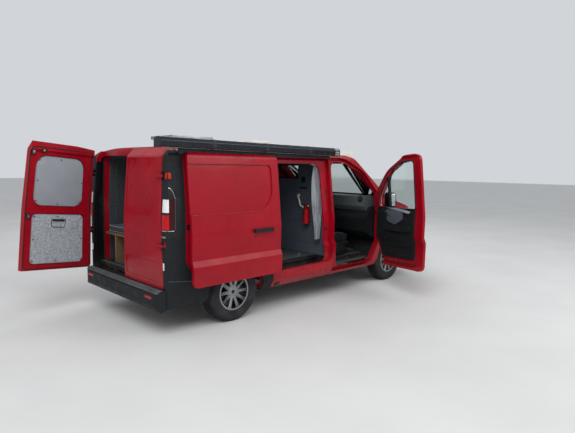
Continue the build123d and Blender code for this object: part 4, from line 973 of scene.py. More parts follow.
def add_front_door(name, side):
    """A front door's handle, window seals, divider, card, speaker, lever, mirror glass and latch."""
    part = "front_door_right" if side == RIGHT else ""
    nodes = ("front_door_" + name, "front_glass_" + name)
    skin = surface(*nodes, part=part)
    inner = surface(*nodes, "front_card_" + name, part=part)
    out, inside = OUTSIDE[side], (1, side, side * 640)
    trim = Piece("front_door_trim_" + name, "black_trim", "front_door_" + name, part)
    add_handle(trim, skin, side, (150, 330), (1010, 1045))
    trim.discs(*lay(skin, out, 128, 1000), ("dark_metal", 0, 9, 2, 20))
    wide = [tuple(WINDOW_MIDDLE + (Vector(p) - WINDOW_MIDDLE) * WINDOW_GROWTH) for p in FRONT_WINDOW]
    trim.laid("rubber", skin, out, wide, 1, 50, 6, 8, True)
    trim.laid("dark_plastic", inner, inside, wide, 2, 50, 9, 8, True)
    trim.laid("black_plastic", skin, out, [(214, 1158), (1084, 1178)], 3, 60, 8)
    trim.patch("dark_plastic", skin, [(804, 1182), (836, 1182), (836, 1590), (804, 1618)], out, 2, 3, 80)
    bar = []
    for z in (1180, 1300, 1420, 1540, 1622):
        spot, normal = lay(inner, inside, 819, z)
        bar.append(spot - normal * 12 * MM)
    trim.ribbon("dark_plastic", bar, (30, 0, 0), 29)
    trim.laid("rubber", inner, inside, FRONT_EDGE, 0, 60, 5, 8, True)
    for material, outline, *values in CARD_PARTS:
        trim.patch(material, inner, outline, inside, *values)
    trim.laid("black_plastic", inner, inside, [(300, 646), (890, 646)], 15, 60, 7)
    spot, normal = lay(inner, inside, 822, 768)
    trim.disc("dark_plastic", spot, normal, 78, 6, 40)
    for radius in (66, 48, 30, 12):
        trim.tube("black_plastic", circle(spot + normal * 7 * MM, radius, 32), 2.5, 6, True)
    spot, normal = lay(inner, inside, 850, 1080)
    trim.disc("dark_metal", spot + normal * 12 * MM, normal, 26, 3, 24)
    lever = [spot + normal * 19 * MM + Vector((dx, 0, 0)) * MM for dx in (0, -40, -80)]
    trim.tube("bright_metal", lever, [5, 7, 6], 10)
    trim.block("chrome", (1019, 1021.5), (side * 1034, side * 1126), (1200, 1380), 0.8)
    trim.block("dark_metal", (102, 105), (side * 926, side * 950), (985, 1065), 0.6)
    trim.done()


# Openings with a rubber seal. Columns: a point inside, the axis looked along, how far an edge may be
SEALED_OPENINGS = (
    ((-2268, 0, 1200), 0, 1150), ((-540, -884, 1150), 1, 900), ((650, -884, 1100), 1, 900),
    ((650, 884, 1100), 1, 900),
)
# How much the sides lean in above a point, the seals' points and how far they stand in
SIDE_LEAN, SEAL_POINTS, SEAL_INSET = 0.107, 140, 4


def ring_inside(tree, centre, axis, reach):
    """A ring of points where rays from a centre meet the edge of an opening."""
    line = []
    start = van(*centre)
    for angle in turns(SEAL_POINTS):
        flat = [math.cos(angle), math.sin(angle)]
        flat.insert(axis, 0.0)
        direction = Vector(flat)
        if axis == 1 and direction.z > 0:
            direction.y = -SIDE_LEAN * direction.z * (1 if centre[1] > 0 else -1)
        spot, _, _, distance = tree.ray_cast(start, direction, reach * MM)
        if spot is not None:
            line.append(start + direction * (distance - SEAL_INSET * MM))
    return line


def add_opening_seals():
    """Rubber seals round the rear opening, the sliding door's and both front doors' openings."""
    shell = surface("body_side_left", "body_side_right", "roof_panel", "floor_pan", "rear_corners")
    trim = Piece("opening_seals", "black_trim")
    for centre, axis, reach in SEALED_OPENINGS:
        trim.tube("rubber", ring_inside(shell, centre, axis, reach), 8, 8, True)
    trim.done()


# Pressed lines on the panels. Columns: x or y, z
SLIDE_BEAD = [
    (-1160, 1258), (-240, 1258), (-110, 1290), (-40, 1390),
    (-24, 1500), (-24, 1740), (-60, 1786), (-1160, 1786),
]
DOOR_BEADS = ([(44, 1236), (560, 1236)], [(60, 772), (700, 772)])


def add_beads():
    """Body-colour beads round the sliding door's field and across the rear doors."""
    trim = Piece("sliding_door_bead", "body_paint", part="sliding_door")
    tree = surface("sliding_door", part="sliding_door")
    trim.laid("red_paint", tree, OUTSIDE[RIGHT], SLIDE_BEAD, -0.5, 30, 5)
    trim.done()
    for name, side in SIDES:
        part = "rear_door_left" if side == LEFT else ""
        tree = surface("rear_door_" + name, part=part)
        trim = Piece("rear_door_bead_" + name, "body_paint", "rear_door_" + name, part)
        for line in DOOR_BEADS:
            trim.laid("red_paint", tree, BACK, mirrored(line, side), -0.5, 40, 4.5)
        trim.done()


ARCH_RADIUS, ARCH_HEIGHT, ARCH_START, ARCH_SWEEP, ARCH_STEPS = 394, 336, 4, 172, 36


def add_side(name, side):
    """Arch lips, side repeater, pillar lock, filler flap and jacking cover of one side."""
    tree = surface("body_side_" + name, "front_wings", "rear_corners", "front_bumper")
    view = OUTSIDE[side]
    trim = Piece("side_trim_" + name, "black_trim")
    for axle in (AXLE, -AXLE):
        points = []
        for k in range(ARCH_STEPS + 1):
            angle = math.radians(ARCH_START + ARCH_SWEEP * k / ARCH_STEPS)
            points.append((axle + ARCH_RADIUS * math.cos(angle), ARCH_HEIGHT + ARCH_RADIUS * math.sin(angle)))
        trim.laid("black_plastic", tree, view, points, -1, 60, 8)
    trim.patch("lens_amber", tree, box_outline(1330, 940, 1412, 966, 10), view, 3, 5, 40, 2)
    if side == RIGHT:
        lock = ("dark_plastic", 0, 25, 4, 28), ("black_plastic", 4, 15, 2, 24)
        trim.discs(*lay(tree, view, 12, 940), *lock)
        trim.patch("dark_plastic", tree, box_outline(38, 1400, 62, 1466, 5), view, 4, 6, 20)
    if side == LEFT:
        trim.laid("dark_plastic", tree, view, box_outline(-340, 830, -160, 1010, 26), 0, 30, 2.4, 6, True)
        trim.patch("red_paint", tree, box_outline(-334, 836, -166, 1004, 22), view, 1.5, 3, 60, 1)
    trim.patch("dark_plastic", tree, box_outline(-960, 316, -870, 362, 10), view, 2, 4, 50)
    trim.done()


# The solar panel's cells and frame. Cells: columns and rows, first x and y, pitches, sizes.
# Frame bars: columns of x and y.
CELL_COUNTS, CELL_START, CELL_PITCH, CELL_SIZE, CELL_TOP = (6, 5), (-2041, -422), (89, 87), (85, 83), 2094.6
SOLAR_FRAME = (
    ((-2051, -1499), (-431, -423)), ((-2051, -1499), (13, 21)),
    ((-2051, -2043), (-431, 21)), ((-1507, -1499), (-431, 21)),
)


def add_roof():
    """Roof ribs, gutter strips, aerials, solar cells, and the vent's and housing's lids."""
    tree = surface("roof_panel")
    trim = Piece("roof_ribs", "body_paint")
    for y in (-600, -300, 0, 300, 600):
        trim.patch("red_paint", tree, box_outline(-2140, y - 24, 260, y + 24, 22), ABOVE, 4, 5, 300, 2)
    trim.done()
    shell = surface("roof_panel", "body_side_left", "body_side_right")
    trim = Piece("roof_trim", "black_trim")
    for _, side in SIDES:
        trim.laid("dark_plastic", shell, ABOVE, [(-2240, side * 792), (640, side * 792)], 1, 90, 6)
    trim.laid("dark_plastic", tree, ABOVE, [(-2240, -700), (-2240, 700)], 0, 90, 3, 6)
    z = on_van(lay(tree, ABOVE, -1170, -460)[0])[2]
    trim.block("dark_plastic", (-1218, -1122), (-498, -422), (z - 3, z + 34), 9)
    trim.disc("black_plastic", van(-1170, -460, z + 34), UP, 30, 10, 32)
    trim.disc("black_plastic", van(-1170, -460, z + 44), UP, 18, 5, 32)
    aerial = [van(560, 420, 1975), van(545, 420, 2010), van(470, 420, 2080)]
    trim.tube("black_plastic", aerial, [14, 4, 2.5], 10)
    trim.done()
    panel = Piece("solar_cells", "solar_cell")
    for i in range(CELL_COUNTS[0]):
        for j in range(CELL_COUNTS[1]):
            x, y = CELL_START[0] + i * CELL_PITCH[0], CELL_START[1] + j * CELL_PITCH[1]
            cell = box_outline(x, y, x + CELL_SIZE[0], y + CELL_SIZE[1], 14, 1)
            panel.prism("solar", [(u, v, CELL_TOP) for u, v in cell], (0, 0, 1.4))
            for k in (1, 2):
                line = (y + k * 28 - 0.7, y + k * 28 + 0.7)
                panel.block("bright_metal", (x + 2, x + 83), line, (CELL_TOP + 1.2, CELL_TOP + 1.8))
    for x, y in SOLAR_FRAME:
        panel.block("alloy", x, y, (2062, 2098), 1)
    panel.done()
    lid = Piece("vent_lid", "cream_plastic")
    lid.block("cream_plastic", (-738, -442), (-268, 28), (2062, 2100), 12)
    lid.block("lens_white", (-700, -480), (-230, -10), (2098, 2104), 3)
    lid.block("cream_plastic", (-744, -436), (-274, 34), (2052, 2062), 3)
    for x in range(400, 621, 55):
        lid.block("grey_plastic", (x, x + 30), (-700, 120), (1996, 2001.5), 2)
    lid.tube("grey_plastic", [van(329, -778, 1984), van(329, 198, 1984)], 3, 6)
    lid.done()


# The awning's case at its rear end, which tips down towards the front. Columns: y, z
AWNING_SECTION = rounded(
    [(-985, 1945), (-870, 1945), (-850, 1975), (-862, 2040), (-960, 2050), (-992, 2010)],
    [20, 10, 20, 30, 40, 30], 5
)
AWNING_MIDDLE, AWNING_REAR, AWNING_TILT = Vector((-920, 1998)), -2530, math.tan(math.radians(0.6))
# Collars and caps round the case. Columns: material, rear x, growth of the section, length
AWNING_COLLARS = (
    ("bright_metal", 92, 1.025, 76), ("dark_plastic", 166, 0.9, 5), ("dark_metal", -1900, 1.03, 46),
    ("dark_metal", -1150, 1.03, 46), ("dark_metal", -420, 1.03, 46),
)


def on_awning(x, y, z):
    """A point given at the awning's rear end, moved along the tipped case."""
    return x, y, z - (x - AWNING_REAR) * AWNING_TILT


def add_awning():
    """The awning's front cap, lead rail, seams and roof brackets."""
    trim = Piece("awning_trim", "awning_case")
    for material, x, growth, length in AWNING_COLLARS:
        section = [AWNING_MIDDLE + (Vector(p) - AWNING_MIDDLE) * growth for p in AWNING_SECTION]
        trim.prism(material, [on_awning(x, y, z) for y, z in section], (length, 0, 0))
    for y, z in ((-993, 2003), (-990, 1962)):
        trim.tube("dark_metal", [van(*on_awning(x, y, z)) for x in (-2470, -1600, -800, 90)], 3.5, 6)
    trim.tube("cream_plastic", [van(*on_awning(x, -930, 1946)) for x in (-2460, -1200, 80)], 3, 6)
    trim.done()


# The head lamp's bowls. Columns: y, radius
LAMP_BOWLS = ((590, 66), (735, 58))
LAMP_BACK = rounded([(494, 760), (860, 790), (868, 985), (494, 985)], 30)
INTAKE_BARS = (352, 392, 432, 466)
SLOTS, SLOT_LOW, SLOT_PITCH = 3, 741, 58
# The windscreen's black border. Columns: y, z
SCREEN_BORDER = (
    [(-784, 1312), (784, 1312), (778, 1350), (-778, 1350)],
    [(-690, 1822), (690, 1822), (655, 1858), (-655, 1858)],
    [(744, 1345), (780, 1345), (672, 1826), (640, 1826)],
    [(-780, 1345), (-744, 1345), (-640, 1826), (-672, 1826)],
)
# The wipers. Columns: the arm's pivot, y of the blade's first end
WIPERS = (((1602, -60), -690), ((1602, 560), -60))
WIPER_X = 1560


def set_back(tree, y, seen, back, z):
    """A point behind what is seen from the front at a height, put at another height."""
    spot, _ = lay(tree, FRONT, y, seen)
    return Vector((spot.x - back * MM, spot.y, z * MM))


def add_front():
    """Lamp bowls, fog lamps, blank plate, intake bars, grille mesh, screen border and wipers."""
    lens, bumper, bars = surface("head_lamps"), surface("front_bumper"), surface("grille")
    trim = Piece("front_trim", "black_trim")
    for _, side in SIDES:
        trim.patch("dark_plastic", lens, mirrored(LAMP_BACK, side), FRONT, -31, 3, 60)
        for u, radius in LAMP_BOWLS:
            spot, _ = lay(lens, FRONT, side * u, 880)
            ahead = Vector((1, side * 0.15, 0)).normalized()
            trim.discs(spot, ahead, ("chrome", -44, radius, 8, 40), ("lens_white", -36, radius * 0.62, 5, 32))
        trim.patch("lens_amber", lens, mirrored(box_outline(500, 772, 840, 800, 8), side), FRONT, -28, 3, 60)
        fog_lamp = ("dark_plastic", -2, 62, 6, 40), ("lens_white", 4, 44, 3, 36)
        trim.discs(*lay(bumper, FRONT, side * 680, 420), *fog_lamp)
    trim.patch("dark_plastic", bumper, box_outline(-272, 540, 272, 664, 10), FRONT, 5, 8, 90)
    trim.patch("cream_plastic", bumper, box_outline(-260, 548, 260, 656, 6), FRONT, 9, 4, 90)
    for z in INTAKE_BARS:
        trim.tube("dark_plastic", [set_back(bumper, y, 505, 34, z) for y in range(-510, 511, 60)], 7)
    for k in range(SLOTS):
        z = SLOT_LOW + k * SLOT_PITCH
        line = [set_back(bars, y, z - 24, 26, z) for y in range(-425, 426, 50)]
        trim.tube("black_plastic", line, 5, 6)
    trim.ribbon("dark_plastic", [Vector((p.x - 34 * MM, p.y, 794 * MM)) for p in line], (0, 0, 204), 2)
    glass_pane = surface("windscreen")
    for edge in SCREEN_BORDER:
        trim.patch("dark_plastic", glass_pane, edge, FRONT, 1.2, 2, 80)
    both = surface("windscreen", "cowl", "bonnet")
    for pivot, tip in WIPERS:
        blade = [(WIPER_X - 30, tip), (WIPER_X - 12, tip + 300), (WIPER_X - 24, tip + 600)]
        trim.laid("rubber", both, ABOVE, blade, 9, 50, 5, 6)
        foot = lay(both, ABOVE, *pivot)[0]
        arm = [foot + Vector((0, 0, 12)) * MM, foot + Vector((-10, -80, 32)) * MM]
        arm.append(lay(both, ABOVE, *blade[1])[0] + Vector((0, 0, 22)) * MM)
        trim.tube("dark_metal", smooth_line(arm, 5), 6)
        trim.disc("dark_plastic", foot, UP, 16, 18, 20)
    trim.done()


# Stuffed forms
CLOTH_PRESSURE, CLOTH_STIFFNESS, CLOTH_QUALITY = 4.0, 12, 5


def stuffed(mesh, voxel, cap, frames=18):
    """A padded form: the mesh blown up a little by a cloth simulation, no point moving past a cap."""
    pad = put("pad", mesh)
    scene = bpy.context.scene
    remesh = pad.modifiers.new("remesh", "REMESH")
    remesh.mode = "VOXEL"
    remesh.voxel_size = voxel * MM
    graph = bpy.context.evaluated_depsgraph_get()
    start = bpy.data.meshes.new_from_object(pad.evaluated_get(graph))
    pad.modifiers.clear()
    pad.data = start
    cloth_settings = pad.modifiers.new("cloth", "CLOTH").settings
    cloth_settings.quality = CLOTH_QUALITY
    cloth_settings.use_pressure = True
    cloth_settings.uniform_pressure_force = CLOTH_PRESSURE
    cloth_settings.effector_weights.gravity = 0
    cloth_settings.tension_stiffness = CLOTH_STIFFNESS
    for step in range(1, frames + 1):
        scene.frame_set(step)
    graph = bpy.context.evaluated_depsgraph_get()
    end = bpy.data.meshes.new_from_object(pad.evaluated_get(graph))
    for first, last in zip(start.vertices, end.vertices):
        moved = last.co - first.co
        if moved.length > cap * MM:
            last.co = first.co + moved * (cap * MM / moved.length)
    scene.frame_set(1)
    bpy.data.objects.remove(pad)
    return end


def prism_mesh(points, offset, radius):
    """A rounded closed form from an outline of van points and an offset, to be stuffed."""
    bm = bmesh.new()
    add_prism(bm, [van(*p) for p in points], Vector(offset) * MM)
    bmesh.ops.recalc_face_normals(bm, faces=bm.faces)
    bevel(bm, bm.edges[:], radius, 3, 0.5)
    return from_bmesh(bm, "form")


def add_pad(name, mesh, material, slot, fill, *replaced):
    """A stuffed mesh as a piece of the van."""
    mesh.materials.clear()
    mesh.materials.append(MATERIALS[material])
    mesh.name = name
    pad = make_object(name, mesh)
    if replaced:
        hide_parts(*replaced)


def seams_on(trim, mesh, view, lines, radius=1.8):
    """Sewn seams laid on a stuffed mesh."""
    bm = bmesh.new()
    bm.from_mesh(mesh)
    tree = BVHTree.FromBMesh(bm)
    for line in lines:
        trim.laid("webbing", tree, view, line, 0.4, 25, radius, 6)
    bm.free()


# Seats. Columns: side, low y, high y, middles of the headrests, y of the seams
SEATS = (
    ("left", 166, 654, (410,), (290, 530)),
    ("right", -694, 54, (-130, -500), (-600, -400, -320, -230, -30)),
)
# Stuffed forms seen from the side. Columns: x, z
CUSHION_FORM = ((312, 676), (802, 676), (806, 778), (440, 788), (312, 780))
SEAT_BACK_FORM = ((236, 800), (408, 806), (322, 1406), (222, 1406))
HEADREST_FORM = ((214, 1446), (290, 1446), (278, 1584), (212, 1584))


def at_y(form, y):
    """An outline of x and z, put at a y."""
    return [(x, y, z) for x, z in form]


def add_seat(name, low, high, middles, seams):
    """A cab seat: box, runners, stuffed cushion, back and headrests, with their seams."""
    base = Piece("seat_base_" + name, "dark_metal")
    base.block("dark_plastic", (318, 742), (low + 14, high - 14), (476, 640), 14)
    base.block("dark_metal", (306, 756), (low + 40, low + 70), (461, 478), 4)
    base.block("dark_metal", (306, 756), (high - 70, high - 40), (461, 478), 4)
    base.block("dark_plastic", (304, 800), (low, high), (636, 676), 12)
    for y, outward in ((low + 2, -1), (high - 2, 1)):
        base.disc("black_plastic", van(300, y, 745), (0, outward, 0), 42, 10, 28)
    bar = [(790, low + 60, 650), (815, low + 60, 640), (815, high - 60, 640), (790, high - 60, 650)]
    base.tube("black_plastic", [van(*p) for p in bar], 8)
    for middle in middles:
        for y in (middle - 55, middle + 55):
            base.tube("chrome", [van(262, y, 1400), van(248, y, 1470)], 6, 10)
    base.done()
    width = high - low - 24
    cushion = stuffed(prism_mesh(at_y(CUSHION_FORM, low + 12), (0, width, 0), 26), 13, 11)
    back = stuffed(prism_mesh(at_y(SEAT_BACK_FORM, low + 14), (0, width - 4, 0), 26), 14, 11)
    add_pad("seat_cushion_" + name, cushion, "seat_cloth", "seat_fabric", 0.7, "seat_" + name)
    add_pad("seat_back_" + name, back, "seat_cloth", "seat_fabric", 0.7)
    for k, middle in enumerate(middles):
        rest = stuffed(prism_mesh(at_y(HEADREST_FORM, middle - 108), (0, 216, 0), 22), 11, 8, 14)
        add_pad("headrest_" + name + "_" + str(k + 1), rest, "seat_cloth", "seat_fabric", 0.8)
    trim = Piece("seat_seams_" + name, "seat_fabric")
    upright = [[(y, 850), (y, 1370)] for y in seams]
    seams_on(trim, back, FROM_CAB_FRONT, upright + [[(low + 40, 1290), (high - 40, 1290)]])
    seams_on(trim, back, FROM_CAB_REAR, [[(low + 40, 900), (high - 40, 900)]])
    flat = [[(470, y), (770, y)] for y in seams]
    seams_on(trim, cushion, OVER_SEAT, flat + [[(700, low + 40), (700, high - 40)]])
    trim.done()


# The dash's upper pad, seen from the side. Columns: x, z
DASH_PAD = rounded(
    [
        (1000, 1185), (1018, 1334), (1150, 1345), (1360, 1335),
        (1420, 1275), (1420, 1212), (1120, 1150), (1060, 1110),
    ],
    [10, 26, 40, 60, 30, 6, 6, 6], 4
)
DASH_HALF, VENT_RADIUS = 800, 36
VENTS, VENT_X, VENT_Z, VENT_BARS = (-728, -90, 60, 728), 1012, 1290, (-20, -7, 7, 20)
# The cluster's hood and dials
HOOD_X, HOOD_Z, HOOD_RISE, HOOD_HALF, DRIVER_Y, DIALS = 985, 1300, 92, 175, 410, (340, 480)
DIAL_NORMAL = (-1, 0, 0.25)
# The steering column: the wheel's centre and how far it leans from level
WHEEL_CENTRE, COLUMN_LEAN = (905, DRIVER_Y, 1020), math.radians(62)


def add_cluster(trim):
    """The hood over the dials, and the dials."""
    hood = [(y, HOOD_Z + HOOD_RISE * math.sqrt(max(0, 1 - ((y - DRIVER_Y) / HOOD_HALF) ** 2)))
            for y in range(236, 585, 12)]
    trim.prism("dark_plastic", [(HOOD_X, y, z) for y, z in hood + [(584, 1200), (236, 1200)]], (130, 0, 0))
    for y in DIALS:
        spot = van(983, y, 1290)
        for material, dx, dz, radius, depth in (
            ("black_plastic", 0, 0, 48, 3), ("board_grey", -3, 0.8, 44, 1), ("black_plastic", -4, 1, 39, 1),
        ):
            trim.disc(material, spot + Vector((dx, 0, dz)) * MM, DIAL_NORMAL, radius, depth, 40)
        needle = [spot + Vector((-6, 0, 1)) * MM, spot + Vector((-6, 22, 26)) * MM]
        trim.ribbon("lens_red", needle, (0, 3, -3), 1)


def add_dash():
    """Dash pad, vents, dials, radio, knobs, glove box, gear lever, pedals and inner mirror."""
    tree = surface("dashboard")
    pad = Piece("dash_pad", "grey_trim")
    pad.prism("dash_grey", at_y(DASH_PAD, -DASH_HALF), (0, 2 * DASH_HALF, 0))
    pad.done(9)
    trim = Piece("dash_trim", "grey_trim")
    trim.tube("board_grey", [van(1028, y, 1324) for y in range(-780, 781, 78)], 6)
    for y in VENTS:
        spot, normal = van(VENT_X, y, VENT_Z), Vector((-1, 0, 0.12)).normalized()
        trim.discs(spot, normal, ("dark_plastic", -2, 44, 8, 36), ("black_plastic", 6, 38, 3, 36))
        for k in VENT_BARS:
            wide = math.sqrt(VENT_RADIUS ** 2 - k * k)
            ends = [spot + normal * 9 * MM + Vector((0, d * wide, k)) * MM for d in (-1, 1)]
            trim.tube("grey_plastic", ends, 2.4, 6)
    add_cluster(trim)
    trim.patch("black_plastic", tree, box_outline(-150, 840, 110, 1070, 16), BACK, 6, 8, 60, 3)
    trim.patch("solar", tree, box_outline(-110, 960, 70, 1054, 6), BACK, 11, 4, 60)
    for y in (-90, -20, 50):
        trim.discs(*lay(tree, BACK, y, 895), ("grey_plastic", 6, 22, 14, 28))
    trim.laid("dark_plastic", tree, BACK, box_outline(-760, 830, -300, 985, 24), 0.5, 40, 2.5, 6, True)
    trim.discs(*lay(tree, BACK, -530, 960), ("black_plastic", 0, 14, 6, 20))
    knob = lay(tree, BACK, 120, 850)[0]
    lever = [knob + Vector(step) * MM for step in ((10, 0, 0), (-50, 0, 50), (-70, 0, 120))]
    trim.tube("dark_plastic", smooth_line(lever, 4), [26, 24, 20, 16, 10, 8, 8, 8, 9], 10)
    trim.disc("black_plastic", lever[-1], (-0.2, 0, 1), 19, 34, 20)
    for y in (320, 420, 500):
        trim.tube("dark_metal", [van(1200, y, 800), van(1190, y, 680), van(1150, y, 585)], 6)
        trim.block("rubber", (1136, 1150), (y - 30, y + 30), (555, 620), 4)
    trim.block("black_plastic", (985, 1015), (-115, 115), (1660, 1720), 12)
    trim.block("chrome", (983, 985), (-105, 105), (1666, 1714), 0.8)
    trim.tube("black_plastic", [van(1000, 0, 1715), van(1010, 0, 1750), van(975, 0, 1790)], 7)
    trim.done()


# Floor mats of the cab. Columns: material, then x, y and z of the block, its rounding
CAB_MATS = (
    ("floor_vinyl", (112, 1110), (-700, 700), (460.5, 465), 1.5),
    ("floor_vinyl", (1110, 1284), (-500, 500), (460.5, 465), 1.5),
    ("seat_cloth", (700, 1100), (200, 620), (465, 472), 3),
    ("seat_cloth", (700, 1100), (-620, -120), (465, 472), 3),
)
# A seat belt. Its route: columns x, y, z. Its fittings: columns x, y and z of the block, its rounding
BELT_ROUTE = ((150, 835, 1430), (155, 842, 1150), (150, 848, 800), (150, 846, 520))
BELT_FITTINGS = (
    ((128, 172), (826, 852), (1420, 1470), 5),
    ((120, 180), (830, 856), (480, 560), 5),
    ((140, 160), (832, 846), (980, 1030), 4),
)


def add_cab():
    """The cab's mats and belts, the steering wheel's cover and the column's stalks."""
    mats = Piece("cab_floor_mat", "grey_trim")
    for row in CAB_MATS:
        mats.block(*row)
    mats.done()
    belts = Piece("seat_belts", "seat_fabric")
    for _, side in SIDES:
        belts.ribbon("webbing", [van(x, side * y, z) for x, y, z in BELT_ROUTE], (46, 0, 0))
        for x, y, z, round_by in BELT_FITTINGS:
            belts.block("dark_plastic", x, (side * y[0], side * y[1]), z, round_by)
    belts.done()
    out = Vector((-math.sin(COLUMN_LEAN), 0, math.cos(COLUMN_LEAN)))
    cover = Piece("steering_cover", "black_trim", "steering_wheel")
    layers = (
        ("dark_plastic", 0, 64, 12, 40), ("black_plastic", 12, 52, 6, 40), ("grey_plastic", 18, 16, 1.2, 28)
    )
    cover.discs(van(*WHEEL_CENTRE) + out * 8 * MM, out, *layers)
    cover.done(1)
    stalks = Piece("column_stalks", "black_trim")
    root = van(*WHEEL_CENTRE) - out * 75 * MM
    for way in (-1, 1):
        line = [root + Vector((0, way * d, 8)) * MM for d in (30, 90, 150)]
        stalks.tube("black_plastic", line, [6, 6, 9], 10)
    stalks.done()


GRAB_HANDLE = ((68, -348, 1365), (38, -354, 1356), (30, -380, 1320), (32, -412, 1225), (68, -420, 1200))
# Fittings of the extinguisher. Columns: material, points, radius or radii, sides
BOTTLE_X, BOTTLE_Y = 14, -546
BOTTLE_FITTINGS = (
    ("dark_metal", ((14, -546, 1226), (-20, -546, 1250), (-62, -548, 1252)), [9, 7, 6], 10),
    ("black_plastic", ((14, -546, 1216), (-30, -546, 1212), (-60, -548, 1190)), [8, 5, 5], 10),
    ("black_plastic", ((-6, -546, 1218), (-52, -548, 1150), (-58, -548, 1095)), [7, 9, 13], 12),
)


def add_bulkhead():
    """The partition's socket, slot, handle, window, seams and screws."""
    trim = Piece("bulkhead_trim", "grey_panel")
    trim.block("dark_plastic", (62, 70), (-462, -396), (1542, 1625), 3)
    trim.disc("black_plastic", van(62, -429, 1583), REARWARD, 24, 2, 28)
    trim.disc("dark_plastic", van(60, -429, 1583), REARWARD, 17, 1, 28)
    trim.block("dark_plastic", (67, 70), (-500, -363), (1456, 1484), 1)
    trim.block("black_plastic", (66, 68), (-494, -369), (1462, 1478), 0.8)
    trim.tube("cream_plastic", smooth_line([van(*p) for p in GRAB_HANDLE], 5), 12, 10)
    trim.disc("cream_plastic", van(70, -348, 1365), REARWARD, 20, 4, 24)
    trim.disc("cream_plastic", van(70, -420, 1200), REARWARD, 20, 4, 24)
    trim.tube("rubber", [van(70, y, z) for y, z in box_outline(-328, 1602, 98, 1788, 12)], 7, 8, True)
    trim.prism("window_glass", [(80, y, z) for y, z in box_outline(-329, 1601, 99, 1789, 2)], (4, 0, 0))
    for z in (700, 1000, 1420):
        trim.ribbon("dark_metal", [van(69.6, -780, z), van(69.6, 430, z)], (0, 0, 3), 1)
    for y in range(-740, 420, 220):
        for z in (640, 1390):
            trim.disc("steel", van(70, y, z), REARWARD, 6, 2, 12)
    trim.done()


def add_extinguisher():
    """The extinguisher's straps, foot, valve, lever, horn and pin."""
    bottle = Piece("extinguisher_trim", "red_metal")
    for z in (1015, 1128):
        bottle.tube("dark_metal", circle(van(BOTTLE_X, BOTTLE_Y, z), 47, 36, 0, 1), 2.5, 6, True)
    bottle.disc("black_plastic", van(BOTTLE_X, BOTTLE_Y, 976), UP, 43, 12, 36)
    for material, points, radii, sides in BOTTLE_FITTINGS:
        bottle.tube(material, [van(*p) for p in points], radii, sides)
    bottle.disc("cream_plastic", van(30, -566, 1224), (0, -1, 0), 12, 5, 24)
    bottle.tube("bright_metal", [van(2, -528, 1236), van(2, -512, 1240)], 2.5)
    bottle.done()


# Floor covering, round the wheel boxes and the bed's boards. Columns: x, y
VINYL_ROWS = [
    (-2325, -830), (-2264, -830), (-2264, -538), (-1176, -538), (-1176, -618), (-1136, -618), (-1136, -684),
    (28, -684), (28, 436), (-1164, 436), (-1164, 538), (-2264, 538), (-2264, 830), (-2325, 830),
]


def add_floor():
    """The load floor's covering, edge strips, side step's ribs and lashing rings."""
    trim = Piece("floor_covering", "grey_trim")
    trim.prism("floor_vinyl", [(x, y, 552.2) for x, y in VINYL_ROWS], (0, 0, 1.8))
    trim.block("bright_metal", (20, 34), (-684, 434), (552, 556), 1.5)
    trim.block("bright_metal", (-1128, 28), (-690, -676), (552, 556), 1.5)
    for low in range(-1110, 10, 56):
        trim.block("rubber", (low, low + 40), (-870, -724), (430, 434), 1.2)
    for x in (-960, -160):
        for y in (-580, 320):
            trim.disc("steel", van(x, y, 554), UP, 17, 2, 24)
            trim.tube("steel", circle(van(x, y, 566), 14, 20, 1, 2), 3, 6, True)
    trim.done()


def add_furniture():
    """Cupboard fronts, worktop edge, bed edging and the seams of the wall lining."""
    unit = Piece("cupboard_fronts", "grey_panel")
    for low, high in ((-1136, -584), (-556, 36)):
        unit.block("panel_grey", (low, high), (434.5, 445.5), (584, 996), 4)
        middle = (low + high) / 2
        unit.disc("dark_metal", van(middle, 434.5, 950), (0, -1, 0), 17, 4, 28)
        unit.disc("bright_metal", van(middle, 430.5, 950), (0, -1, 0), 10, 3, 24)
        for z in (640, 930):
            unit.tube("dark_metal", [van(low + 3, 433, z - 22), van(low + 3, 433, z + 22)], 4)
    unit.block("ply", (-1172, 68), (422, 426), (1008, 1034), 1.5)
    for x in (-1130, -570, 20):
        unit.block("panel_grey", (x - 3, x + 3), (430, 440), (560, 580), 1)
    unit.done()
    bed = Piece("bed_trim", "plywood")
    bed.block("ply", (-2266, -2258), (-800, 800), (896, 924), 2)
    bed.block("ply", (-1184, -1176), (-800, 430), (896, 924), 2)
    for y in (-551, 551):
        bed.block("ply", (-2264, -2256), (y - 16, y + 16), (556, 900), 3)
    bed.done()
    lining = surface("wall_lining")
    seams = Piece("lining_seams", "grey_lining")
    for x in (-2100, -1640, -1170, -620, -80):
        seams.laid("grey_plastic", lining, FROM_AISLE, [(x, 1050), (x, 1780)], 1, 60, 2.5, 6)
    seams.laid("grey_plastic", lining, FROM_AISLE, [(-2180, 1250), (60, 1250)], 1, 90, 3, 6)
    seams.done()


MATTRESS_LOW, MATTRESS_HIGH, MATTRESS_Z, MATTRESS_THICK = (-2238, -778), (-1202, 778), 932, 78


def add_mattress():
    """The mattress, stuffed, with its sewn edges."""
    (x0, y0), (x1, y1) = MATTRESS_LOW, MATTRESS_HIGH
    form = [(x, y, MATTRESS_Z) for x, y in ((x0, y0), (x1, y0), (x1, y1), (x0, y1))]
    mesh = stuffed(prism_mesh(form, (0, 0, MATTRESS_THICK), 22), 22, 10)
    add_pad("mattress_pad", mesh, "mattress_cloth", "bed_fabric", 0.75, "mattress")
    trim = Piece("mattress_seams", "bed_fabric")
    edge = between(box_outline(x0 - 3, y0 - 3, x1 + 3, y1 + 3, 30), 80, True)
    for z in (938, 1000):
        trim.tube("webbing", [van(x, y, z) for x, y in edge], 4, 8, True)
    seams_on(trim, mesh, OVER_BED, [[(-2200, y), (-1240, y)] for y in (-400, 0, 400)], 2)
    trim.done()


